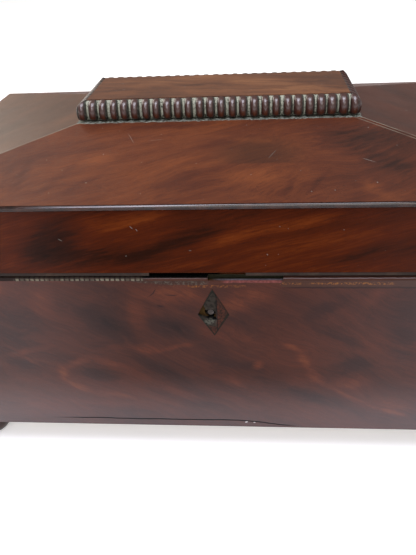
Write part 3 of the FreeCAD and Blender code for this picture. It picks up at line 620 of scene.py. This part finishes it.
def side_gap_shade(make, rough, height):
    """Painted shade: the rebate under the board is black in the gap where its edging has broken away."""
    x, y, z = make.axes
    under = make.before(z, REBATE_TOP, REBATE_TOP + 0.1)
    make.paint(make.times(under, make.before(y, REBATE_WALL, REBATE_WALL + 0.1)), GAP_SHADE)
    return rough, height


def side_polish(make):
    """The middle of the lid's front board mirrors dark ground, and its ends the pale room."""
    x, y, z = make.axes
    return make.plus(make.past(x, -105, -45, 0.07, 0), make.past(x, 40, 105, 0.012, 0.06))


print("rebate top", round(REBATE_TOP, 2), "mm")

# %% Strokes on the lid
side_strokes = upright([
    (-76, 150, 24, 14, 36, -0.34), (-60, 141, 44, 9, 4, -0.36), (-17, 148, 38, 5.5, 18, -0.24),
    (-48, 166, 20, 3.5, 6, -0.16), (-36, 158.5, 30, 5, 13, 0.26), (13, 151.5, 36, 6.5, 19, 0.2),
    (43, 158, 22, 5, 14, 0.18), (58, 150, 28, 5, 14, 0.12), (-100, 147, 9, 16, 0, 0.06),
    (-8, 136.5, 22, 3, 6, 0.12), (72, 141, 32, 6, 13, -0.18), (102, 146, 24, 9, 15, -0.08)])
side_scratches = upright([
    (-71.7, 150.2, 1.4, 0.26, -32, 0.4), (-36.8, 156.5, 1.2, 0.26, -50, 0.4),
    (-34.4, 155.2, 0.9, 0.26, -60, 0.4), (-10, 144, 0.8, 0.26, 0, 0.35)])
slope_strokes = lying([
    (-23, -66, 46, 24, 0, 0.06), (19, -77, 30, 10, 10, 0.16), (-57, -63, 14, 7, 27, 0.12),
    (-18, -66, 13, 4, 23, 0.12), (18, -49, 30, 4, -11, 0.1), (75, -90, 14, 6, -49, 0.16),
    (36, -87, 12, 3, 64, -0.12), (50, -84, 14, 2.4, 57, -0.1), (79, -67, 32, 10, -34, -0.12),
    (92, -62, 52, 44, 0, -0.17), (-29, -35, 34, 4, 3, -0.12), (-93, -76, 22, 5, 88, -0.08),
    (-60, -82, 22, 4, 43, -0.08), (-73, -76, 24, 4, 62, -0.07), (64, -46, 42, 17, -6, -0.2),
    (30, -82, 30, 11, 4, 0.08)])
slope_scratches = lying([
    (29, -61.5, 5, 0.2, 60, 0.6), (74.5, -68, 4, 0.2, -31, 0.6), (-43.5, -45, 6, 0.16, -65, 0.45),
    (-30, -47, 5, 0.14, 10, 0.35)])
cap_strokes = lying([(20, 0, 30, 12, 0, 0.12), (-50, -5, 24, 14, 0, -0.12)])
print("lid strokes", len(side_strokes) + len(slope_strokes) + len(cap_strokes))


# %% Veneers on their panels
def dress(material, *names):
    """Gives solids their finish."""
    for name in names:
        slots = nodes[name].data.materials
        slots.clear()
        slots.append(material)


dress(front_wood, "front_panel")
dress(mahogany("lid_side_veneer", (0, -15, 0), (0, 0, 30), 0.45, (0.32, 0.36, 0.34), side_strokes,
               side_scratches, RED_TONES, 0.3, 0.4, 0.34, side_polish, wear=side_gap_shade), "lid_rail_front")
dress(mahogany("front_slope_veneer", (0, 0, 24), (50, 10, 0), 0.54, (0.44, 0.28, 0.22), slope_strokes,
               slope_scratches, sheen=0.38, polish=slope_polish, wear=roof_wear),
      "slope_panel_front", "slope_panel_back")
dress(mahogany("left_slope_veneer", (0, 0, 62), (20, 30, 0), 0.49, (0.45, 0.14, 0.1), tones=CAP_TONES,
               sheen=0.42, polish=0.45, tint=(1, 0.97, 0.8), wear=roof_wear), "slope_panel_left")
dress(mahogany("right_slope_veneer", (0, 0, -58), (70, 0, 0), 0.44, (0.45, 0.14, 0.1), sheen=0.4,
               polish=0.42, wear=roof_wear), "slope_panel_right")
dress(mahogany("raised_panel_veneer", (0, 0, -6), (0, 40, 0), 0.62, (1.05, 0.62, 0.36), cap_strokes,
               tones=CAP_TONES, sheen=0.42, polish=0.3), "plateau_cap", "plateau_core")
dress(mahogany("back_veneer", (0, -8, 0), (100, 0, 50), 0.42, sheen=0.38, polish=0.3),
      "back_panel", "lid_rail_back")
dress(mahogany("end_veneer", (0, 0, 90), (100, 20, 50), 0.42, sheen=0.38, polish=0.3),
      "left_end_panel", "right_end_panel")
dress(mahogany("lid_end_veneer", (0, 0, 90), (0, 100, 50), 0.44, tones=RED_TONES, sheen=0.34, polish=0.2),
      "lid_rail_left", "lid_rail_right")
print("veneers", [material.name for material in bpy.data.materials if "veneer" in material.name])

# %% [markdown]
# ## Gadrooning
# Round the raised panel runs a carved moulding of fat upright reeds with dust packed between them. Each
# reed follows part of a squarish ellipse, as a carver would cut it from a thumb moulding, and ends in a
# rounded tongue. The whole row is one surface of two parameters: an angle down the moulding, and a place
# along it. A half-round swelling lifts the surface from the ground between the reeds to their crest. How
# far it is lifted is kept as an attribute, so that the finish can lay polish on the crests and dust in
# the ground.

# %% Sizes of the reeds
REED_PITCH = 5.8
REED_HALF = 2.42
REED_BULGE = 7
REED_SETBACK = 1
REED_MIDDLE = 5
REED_RISE = 6.12
REED_FALL = 7.4
GROUND_BULGE = 4
SQUARENESS = 2 / 2.2
BACK_RISE = 6.55
CORNER_OVERHANG = 5
CORE_DEPTH = 4
TOP_ANGLE, TIP_ANGLE, FOOT_ANGLE = 84, -17, -38
POINT_ANGLE = 97
TIP_WIDTH, GROUND_DROP, HAIR = 0.45, 0.08, 0.02
cap_low, cap_high = np.array(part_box("plateau_cap")) / MM
gadroon_low, gadroon_high = np.array(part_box("gadroon_front")) / MM
MOULDING_FOOT = float(gadroon_low[2])
CAP_UNDER = float(cap_low[2]) - MOULDING_FOOT
CAP_OVER = float(cap_high[2]) - MOULDING_FOOT - 0.05
degrees_down = np.concatenate([np.linspace(TOP_ANGLE, TIP_ANGLE, 30),
                               np.linspace(TIP_ANGLE, FOOT_ANGLE, 13)[1:]])
ANGLES = np.radians(degrees_down)
TIP = np.sqrt(1 - np.clip((TIP_ANGLE - degrees_down) / (TIP_ANGLE - FOOT_ANGLE), 0, 1) ** 2)
ACROSS = np.sin(np.linspace(-np.pi / 2, np.pi / 2, 23))
SWELL = np.sqrt(1 - ACROSS ** 2)
print("moulding height", round(float(gadroon_high[2]) - MOULDING_FOOT, 2), "mm, angles", len(ANGLES))


# %% Gadroon surface
def reed_row(middles, halves, half_length, half_span, height):
    """Points (angle, along, xyz), lift and place across of one row facing -Y. out = ground + lift * (crest
    - ground), with crest and ground on squared ellipses, and lift shrinking to 0 round the tip of each
    tongue; the ends are cut to the mitre, |along| <= half_length + out."""
    reach = np.cos(ANGLES) ** SQUARENESS
    climb = np.sign(ANGLES) * np.abs(np.sin(ANGLES)) ** SQUARENESS
    rise = np.where(ANGLES > 0, height, REED_FALL) * climb
    crest = REED_BULGE * reach - REED_SETBACK
    ground = np.maximum(GROUND_BULGE * reach - REED_SETBACK, HAIR)
    narrowing = np.sqrt(1 - (np.abs(degrees_down) / POINT_ANGLE) ** 4) * (TIP_WIDTH + (1 - TIP_WIDTH) * TIP)
    along = middles[None, :, None] + (halves[:, None] * ACROSS)[None] * narrowing[:, None, None]
    along = along.reshape(len(ANGLES), -1)
    ends = np.full((len(ANGLES), 1), half_length + half_span)
    along = np.hstack([-ends, along, ends])
    lift = np.concatenate([[0], np.tile(SWELL, len(middles)), [0]])[None] * TIP[:, None]
    out = ground[:, None] + (crest - ground)[:, None] * lift
    up = np.clip(REED_MIDDLE + rise[:, None] * (1 - GROUND_DROP * (1 - lift)), 0.05, CAP_OVER)
    hidden = np.zeros((3, lift.shape[1]))
    out = np.vstack([out, hidden + np.array([[-CORE_DEPTH], [-CORE_DEPTH], [0]])])
    up = np.vstack([up, hidden + np.array([[HAIR], [CAP_UNDER], [CAP_UNDER]])])
    along = np.vstack([along, along[-1:], along[:1], along[:1]])
    limit = half_length + out
    along = np.clip(along, -limit, limit)
    points = np.stack([along, -half_span - out, MOULDING_FOOT + up], axis=-1)
    across = np.concatenate([[1], np.tile(ACROSS, len(middles)), [-1]])
    return points, np.vstack([lift, hidden]), np.tile(across, (len(points), 1))


def row_plan(length):
    """Middles and half widths of a row of reeds: even steps, each reed cut by hand a little differently,
    with the last reed a little way past the corner of the panel."""
    gaps = round((length + CORNER_OVERHANG) / REED_PITCH)
    step = np.arange(gaps + 1)
    middles = (step - gaps / 2) * REED_PITCH + 0.12 * np.sin(step * 2.4)
    halves = REED_HALF * (0.97 + 0.05 * np.sin(step * 1.7) + 0.1 * (step > 0.78 * gaps))
    return middles, halves


front_length, end_length = (cap_high - cap_low)[:2].tolist()
print("panel", round(front_length, 1), "by", round(end_length, 1), "mm")


# %% A piece from a ring of points
def ring_faces(rows, columns):
    """Quads of a grid whose rows close into a ring, and one face over each open end."""
    row, column = np.meshgrid(np.arange(rows), np.arange(columns - 1), indexing="ij")
    below = (row + 1) % rows
    quads = np.stack([row * columns + column, row * columns + column + 1,
                      below * columns + column + 1, below * columns + column], axis=-1).reshape(-1, 4)
    start = np.arange(rows) * columns
    return quads.tolist() + [start.tolist()[::-1], (start + columns - 1).tolist()]


def around(width, depth):
    """Each side of a rectangle: its name, its turn, its length and the size across from it."""
    return (("front", 0, width, depth), ("right", 90, depth, width),
            ("back", 180, width, depth), ("left", -90, depth, width))


def turned_points(points, degrees):
    """Points turned about the upright axis of the box."""
    turn = math.radians(degrees)
    matrix = np.array([[math.cos(turn), -math.sin(turn), 0], [math.sin(turn), math.cos(turn), 0], [0, 0, 1]])
    return points @ matrix.T


def mesh_piece(name, points, attributes, material, node, body):
    """One object from a ring of points that stands for a CAD node."""
    faces = ring_faces(*points.shape[:2])
    mesh = bpy.data.meshes.new(name)
    mesh.from_pydata((points * MM).reshape(-1, 3).tolist(), [], faces)
    mesh.polygons.foreach_set("use_smooth", np.array([len(face) == 4 for face in faces]))
    for label, values in attributes.items():
        layer = mesh.attributes.new(label, "FLOAT", "POINT")
        layer.data.foreach_set("value", values.reshape(-1).astype(np.float32))
    mesh.materials.append(material)
    mesh.update()
    piece = bpy.data.objects.new(name, mesh)
    bpy.context.collection.objects.link(piece)
    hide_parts(node)
    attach(piece, body)
    print(name, "faces", len(faces))


print("ring of 3 by 3 points has", len(ring_faces(3, 3)), "faces")

# %% Gadroon finish and its four rows
REED_RED = (0.046, 0.012, 0.0078)
REED_GLINT_ORANGE = (0.085, 0.025, 0.011)
REED_SHADE_DARK = (0.024, 0.022, 0.017)
REED_SHADE_GRIME = (0.095, 0.095, 0.076)
CHANNEL_PALE = (0.37, 0.38, 0.3)
FRONT_EDGE = float(cap_low[1])


def gadroon_polish():
    """Polish on the crests with a painted orange glint low down, painted shade speckled with olive dirt down
    the side away from the window and in a thin line at each reed's left edge, pale dust in the ground.
    """
    make = Finish("gadroon_polish_dust_and_painted_shade")
    lift, across = make.attribute("lift"), make.attribute("across")
    x, y, z = make.axes
    level = make.minus(z, MOULDING_FOOT * MM)
    streak = make.stretched((1.2, 1.2, 6))
    patchy = make.minus(make.noise(300, 3, 0.6), 0.5)
    grain = make.noise(900, 3, 0.6)
    # A painted orange glint low on the middle of each crest, standing for the warm slope's reflection.
    rubbed = make.times(
        make.past(level, 1, 2.4), make.past(level, 3.6, 5.2, 1, 0.12),
        make.between(make.size(across), 0.2, 0.55, 1, 0), make.between(streak, 0.3, 0.6, 0.2, 1))
    wood = make.mix(rubbed, REED_RED, REED_GLINT_ORANGE)
    # Painted shade, speckled with olive dirt, down each reed's side away from the window, and a painted dark
    # line at its left edge.
    shaded = make.plus(across, make.times(patchy, 0.5))
    flank_shade = make.most(make.between(shaded, 0.42, 0.8), make.between(shaded, -0.96, -0.84, 1, 0))
    shade_grime = make.mix(make.between(grain, 0.44, 0.68), REED_SHADE_DARK, REED_SHADE_GRIME)
    low = make.past(level, 1, 4, 0.09, 0)
    pale = make.times(make.between(make.minus(grain, low), 0.26, 0.52),
                      make.past(y, FRONT_EDGE, FRONT_EDGE + 1, 1, 0.15))
    dust = make.mix(pale, GRIME_DARK, CHANNEL_PALE)
    ground = make.between(make.plus(lift, make.times(patchy, 0.3)), 0.06, 0.3, 1, 0)
    make.colour = make.mix(ground, make.mix(flank_shade, wood, shade_grime), dust)
    dull = make.most(make.times(flank_shade, 0.6), ground)
    gloss = make.times(make.past(level, 2, 5, 0.3, 1), make.past(y, 0, 20, 1, 0.2))
    return make.finish(make.between(dull, 0, 1, 0.31, 0.9), make.times(grain, dull), 0.2, 0.5,
                       Specular_IOR_Level=make.times(gloss, make.minus(1.05, dull)))


gadroon_finish = gadroon_polish()
for side, turn, length, span in around(front_length, end_length):
    height = BACK_RISE if side == "back" else REED_RISE
    points, lift, across = reed_row(*row_plan(length), length / 2, span / 2, height)
    mesh_piece("carved_gadroon_" + side, turned_points(points, turn), {"lift": lift, "across": across},
               gadroon_finish, "gadroon_" + side, "lid")

# %% [markdown]
# ## Edging, escutcheon and other finishes
# The edging strips are stained nearly black. The strip round the rim was chequered with pale squares,
# which survive at the left; towards the lock it is chipped, and at the right its foot is rubbed to bright
# flecks. The escutcheon has tarnished to green on the left of a crack and to brown on the right. All of
# it is too small for a mesh, so it is painted by place.

# %% Rim strip
TICK_PITCH = 2.54
TICK_SPAN = (-100, -99, -35, -34)
CHIPPED_SPAN = (-40, -30, 0, 20)
EDGE_LEVEL = 128.35
STRIP_BROWN = (0.046, 0.025, 0.018)
STRIP_DARK = (0.018, 0.011, 0.009)
STRIP_RED = (0.066, 0.025, 0.016)
TICK_PALE = (0.165, 0.15, 0.108)
LINE_PALE = (0.23, 0.2, 0.21)
CHIP_BROWN = (0.04, 0.025, 0.019)


def rim_strip():
    """Dark strip with pale squares, then chips, then a light line; its top edge is painted black as shade
    in the gap under the lid.
    """
    make = Finish("worn_rim_strip")
    x, y, z = make.split(make.wavy(3, 0.5))
    grain = make.stretched((14, 0.8, 0.8))
    grit = make.noise(750, 4, 0.7)
    make.colour = make.mix(make.between(grain, 0.38, 0.66), STRIP_DARK, STRIP_BROWN)
    crumbs = make.between(make.noise(620, 4, 0.65), 0.44, 0.6)
    chipped = make.times(make.inside(x, *CHIPPED_SPAN), crumbs)
    make.paint(chipped, CHIP_BROWN)
    bared = make.times(make.past(x, -36, -30), make.between(grain, 0.25, 0.55, 0.5, 0.95))
    make.paint(bared, STRIP_RED)
    edge = make.before(make.size(make.minus(z, EDGE_LEVEL * MM)), 0.05, 0.26)
    edge = make.times(edge, make.between(grain, 0.3, 0.6, 0.3, 0.8))
    lined = make.most(make.past(x, 20, 30), make.past(x, -36, -32, 0, 0.6))
    make.paint(make.times(edge, lined), LINE_PALE)
    step = make.minus(make.math("FRACT", make.math("DIVIDE", x, TICK_PITCH * MM)), 0.5)
    tick = make.between(make.size(step), 0.26, 0.4, 1, 0)
    kept = make.times(
        make.inside(x, *TICK_SPAN), make.between(make.noise(260, 3), 0.36, 0.58, 0.35, 1),
        make.past(z, EDGE_LEVEL - 0.2, EDGE_LEVEL + 0.1, 1, 0.15), make.before(y, -60, -50))
    make.paint(make.times(tick, kept), TICK_PALE)
    # Painted shade: the top of the strip's front goes black in the gap under the lid, and so does the rim's
    # top left of the lock.
    dirty = make.past(z, EDGE_LEVEL + 0.25, EDGE_LEVEL + 0.5)
    shadowed = make.times(dirty, make.before(make.axes[2], *RIM_EDGE))
    make.paint(make.most(shadowed, rim_gap_shade(make)), GAP_SHADE)
    height = make.minus(make.times(grit, 0.5), chipped)
    rough = make.between(grit, 0.3, 0.7, 0.4, 0.62)
    return make.finish(rough, height, 0.3, 0.5, Specular_IOR_Level=0.07)


print("squares over", TICK_SPAN, "chips over", CHIPPED_SPAN)

# %% Escutcheon
kite_low, kite_high = np.array(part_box("escutcheon")) / MM
KITE_MIDDLE = ((kite_low + kite_high) / 2).tolist()
KITE_HALF = ((kite_high - kite_low) / 2).tolist()
KITE_CRACK_X = 1.2
GREEN_DARK, GREEN = (0.014, 0.012, 0.0098), (0.038, 0.031, 0.0245)
BROWN_DARK, BROWN = (0.026, 0.017, 0.013), (0.078, 0.027, 0.018)
KITE_RIM = (0.016, 0.0165, 0.0125)
KITE_CRACK = (0.01, 0.01, 0.009)
CRUST_PALE = (0.09, 0.088, 0.07)
KEYHOLE_SHADOW = (0.004, 0.004, 0.004)


def escutcheon_tarnish():
    """Green tarnish left of a crack, mottled brown right of it and at the foot, a dark outline, a pale
    crust under the keyhole and a shadow at the keyhole's lower edge."""
    make = Finish("tarnished_escutcheon")
    x, y, z = make.axes
    patch = make.noise(420, 4, 0.65)
    green = make.mix(make.between(patch, 0.36, 0.64), GREEN_DARK, GREEN)
    mottle = make.stretched((1.6, FAR, 0.9), 4, 0.7, degrees=(0, -50, 0))
    brown = make.mix(make.between(mottle, 0.4, 0.62), BROWN_DARK, BROWN)
    right = make.past(make.plus(x, make.times(patch, 3 * MM)), 2.2, 3)
    foot = make.before(make.plus(z, make.times(patch, 4 * MM)), 99, 101)
    make.colour = make.mix(make.most(right, foot), green, brown)
    spread = [make.math("DIVIDE", make.size(make.minus(value, KITE_MIDDLE[axis] * MM)), KITE_HALF[axis] * MM)
              for axis, value in ((0, x), (2, z))]
    rim = make.between(make.plus(*spread), 0.86, 0.94)
    make.paint(make.times(rim, 0.8), KITE_RIM)
    crack = make.past(make.size(make.minus(x, KITE_CRACK_X * MM)), 0.1, 0.32, 0.8, 0)
    make.paint(crack, KITE_CRACK)
    crust = make.times(make.near((-2.4, FRONT_Y, 101.4), (4.4, FAR, 3), (0, -20, 0), 0.3),
                       make.between(make.noise(1100, 3), 0.38, 0.56))
    make.paint(crust, CRUST_PALE)
    # A painted shadow under the keyhole's lower edge.
    under = make.near((-1.6, FRONT_Y, 103.4), (3.6, FAR, 1.1), (0, 12, 0), 0.6)
    make.paint(under, KEYHOLE_SHADOW)
    rough = make.plus(make.times(patch, 0.25), 0.4)
    height = make.minus(make.plus(mottle, crust), make.times(crack, 2))
    return make.finish(rough, height, 0.2, 0.5, Specular_IOR_Level=0.03)


print("escutcheon half sizes", [round(half, 2) for half in KITE_HALF], "mm")


# %% Stained and plain wood
def stained(name, black, brown, wear, sheen, specular):
    """Dark stain with brown showing through where it is worn."""
    make = Finish(name)
    worn = make.between(make.noise(90, 5, 0.7), 0.62 - wear, 0.8 - wear)
    grain = make.stretched((30, 2, 2))
    make.colour = make.mix(worn, black, brown)
    make.paint(make.between(grain, 0.4, 0.7, 0, 0.5), brown)
    rough = make.between(worn, 0, 1, sheen, sheen + 0.18)
    return make.finish(rough, make.plus(worn, grain), 0.08, 0.25, Specular_IOR_Level=specular)


def plain_wood(name, light, dark, sheen):
    """Straight-grained boards for the inside and the base, with their grain along X."""
    make = Finish(name)
    along = make.wavy(60, 6)
    streak = make.stretched((120, 4, 4), 5, 0.6, place=along)
    pore = make.stretched((8, 0.5, 0.5), 2, place=along)
    stain = make.noise(24, 4)
    make.colour = make.mix(make.between(streak, 0.3, 0.7), dark, light)
    make.paint(make.between(stain, 0.45, 0.8, 0, 0.5), dark)
    make.paint(make.between(pore, 0.55, 0.7, 0, 0.5), DARKEST)
    rough = make.plus(make.times(stain, 0.2), sheen)
    return make.finish(rough, make.minus(streak, pore), 0.3, 0.35)


print("stain and plain wood ready")


# %% Metal and glass
def old_metal(name, bright, dull, crust, sheen, metallic):
    """Metal that has dulled in patches, with a crust in places."""
    make = Finish(name)
    patch = make.noise(160, 5, 0.65)
    scratch = make.stretched((20, 0.6, 0.6), 2, 0.5, degrees=(0, 25, 30))
    make.colour = make.mix(make.between(patch, 0.35, 0.62), bright, dull)
    crusted = make.between(make.noise(330, 5, 0.7), 0.56, 0.68)
    make.paint(make.times(crusted, 0.8), crust)
    rough = make.plus(make.times(patch, 0.3), sheen)
    height = make.plus(make.times(crusted, 0.6), make.times(scratch, 0.4))
    return make.finish(rough, height, 0.2, 0.5, Metallic=metallic)


def clear_glass():
    """Clear glass with faint streaks in its surface."""
    make = Finish("clear_glass")
    streak = make.stretched((20, 20, 4), 2)
    make.colour = make.mix(streak, (0.93, 0.97, 0.95), (0.86, 0.92, 0.9))
    rough = make.between(streak, 0.3, 0.8, 0.02, 0.07)
    return make.finish(rough, streak, 0.3, 0.2, Transmission_Weight=1, IOR=1.5)


print("finishes so far", len(bpy.data.materials))

# %% Finishes by slot
brass = old_metal("dull_brass", (0.55, 0.4, 0.17), (0.24, 0.17, 0.08), (0.1, 0.12, 0.08), 0.32, 1)
iron = old_metal("lock_iron", (0.22, 0.21, 0.2), (0.08, 0.075, 0.07), (0.16, 0.07, 0.03), 0.4, 0.9)
pin = old_metal("worn_pin", (0.13, 0.11, 0.1), (0.055, 0.045, 0.04), (0.05, 0.03, 0.02), 0.5, 0.6)
slot_finishes = {
    "ebonised_edging": stained("stained_edging", (0.02, 0.013, 0.01), (0.05, 0.031, 0.0215), 0.14,
                               0.42, 0.12),
    "foot_wood": stained("stained_foot", (0.02, 0.0085, 0.006), (0.075, 0.024, 0.014), 0.16, 0.3, 0.4),
    "knob_wood": stained("turned_knob", (0.01, 0.0075, 0.007), (0.06, 0.026, 0.014), 0.06, 0.25, 0.5),
    "inner_wood": plain_wood("inner_mahogany", (0.24, 0.095, 0.04), (0.11, 0.04, 0.018), 0.4),
    "base_wood": plain_wood("pine_base", (0.42, 0.27, 0.14), (0.26, 0.15, 0.07), 0.6),
    "rim_edging": rim_strip(), "escutcheon_metal": escutcheon_tarnish(), "bowl_glass": clear_glass(),
    "lock_iron": iron, "hinge_screw_iron": iron, "lock_brass": brass, "hinge_brass": brass,
}
for part in frame["record"]["subparts"]:
    if part["material_slot"] in slot_finishes:
        dress(slot_finishes[part["material_slot"]], part["node"])
dress(pin, "lock_drill_pin")
print("finishes", len(bpy.data.materials))

# %% [markdown]
# ## Bead
# A thin polished rod runs round the foot of the slopes. Its light is one crisp line, which facets would
# break up, so the rod is made again as a smooth half round with mitred ends. A joiner scrapes such a bead
# with a shaped cutter, so the radius wanders a little along its length.

# %% Bead rods
BEAD_RADIUS = float(bead_high[2] - bead_low[2]) / 2
BEAD_MIDDLE = float(bead_high[2] + bead_low[2]) / 2
BEAD_DEPTH = float(bead_high[1] - bead_low[1])
WANDER = 0.02
BEAD_DARK, BEAD_WORN = (0.014, 0.0065, 0.0052), (0.046, 0.019, 0.013)


def bead_rod(half_length, half_span):
    """Points (round the rod, along it, xyz) facing -Y, and how far up each is: a half round, a flat back."""
    angle = np.radians(np.linspace(90, -90, 25))
    out = np.concatenate([BEAD_RADIUS * (np.cos(angle) - 1), [-BEAD_DEPTH, -BEAD_DEPTH]])[:, None]
    up = np.concatenate([BEAD_RADIUS * np.sin(angle), [-BEAD_RADIUS, BEAD_RADIUS]])[:, None]
    along = np.linspace(-1, 1, 121)[None] * (half_length + out)
    dip = WANDER * (1 + np.sin(along * 0.16 + 3 * np.sin(along * 0.037)))
    dip = np.where(out > -BEAD_RADIUS, dip, 0)
    points = np.stack([along, -half_span - out + dip, BEAD_MIDDLE + up + 0 * along], axis=-1)
    return points, up / BEAD_RADIUS + 0 * along


def polished_bead():
    """Dark polish that shines above and is dull below and in its dirty top seam, by how far up the round a
    place is; the back and the ends are duller."""
    make = Finish("polished_bead")
    x, y, z = make.axes
    up = make.attribute("up")
    worn = make.noise(140, 4, 0.65)
    make.colour = make.mix(make.between(worn, 0.35, 0.7), BEAD_DARK, BEAD_WORN)
    shine = make.times(make.between(up, -0.1, 0.35, 0.24, 0.9), make.between(up, 0.66, 0.9, 1, 0.05),
                       make.past(y, -90, -70, 1, 0.2))
    rough = make.between(worn, 0.3, 0.8, 0.05, 0.14)
    return make.finish(rough, worn, 0.05, 0.2, Specular_IOR_Level=shine)


bead_finish = polished_bead()
for side, turn, half_length, half_span in around(float(bead_high[0]), float(-bead_low[1])):
    points, up = bead_rod(half_length, half_span)
    mesh_piece("polished_bead_" + side, turned_points(points, turn), {"up": up}, bead_finish,
               "lid_bead_" + side, "lid")
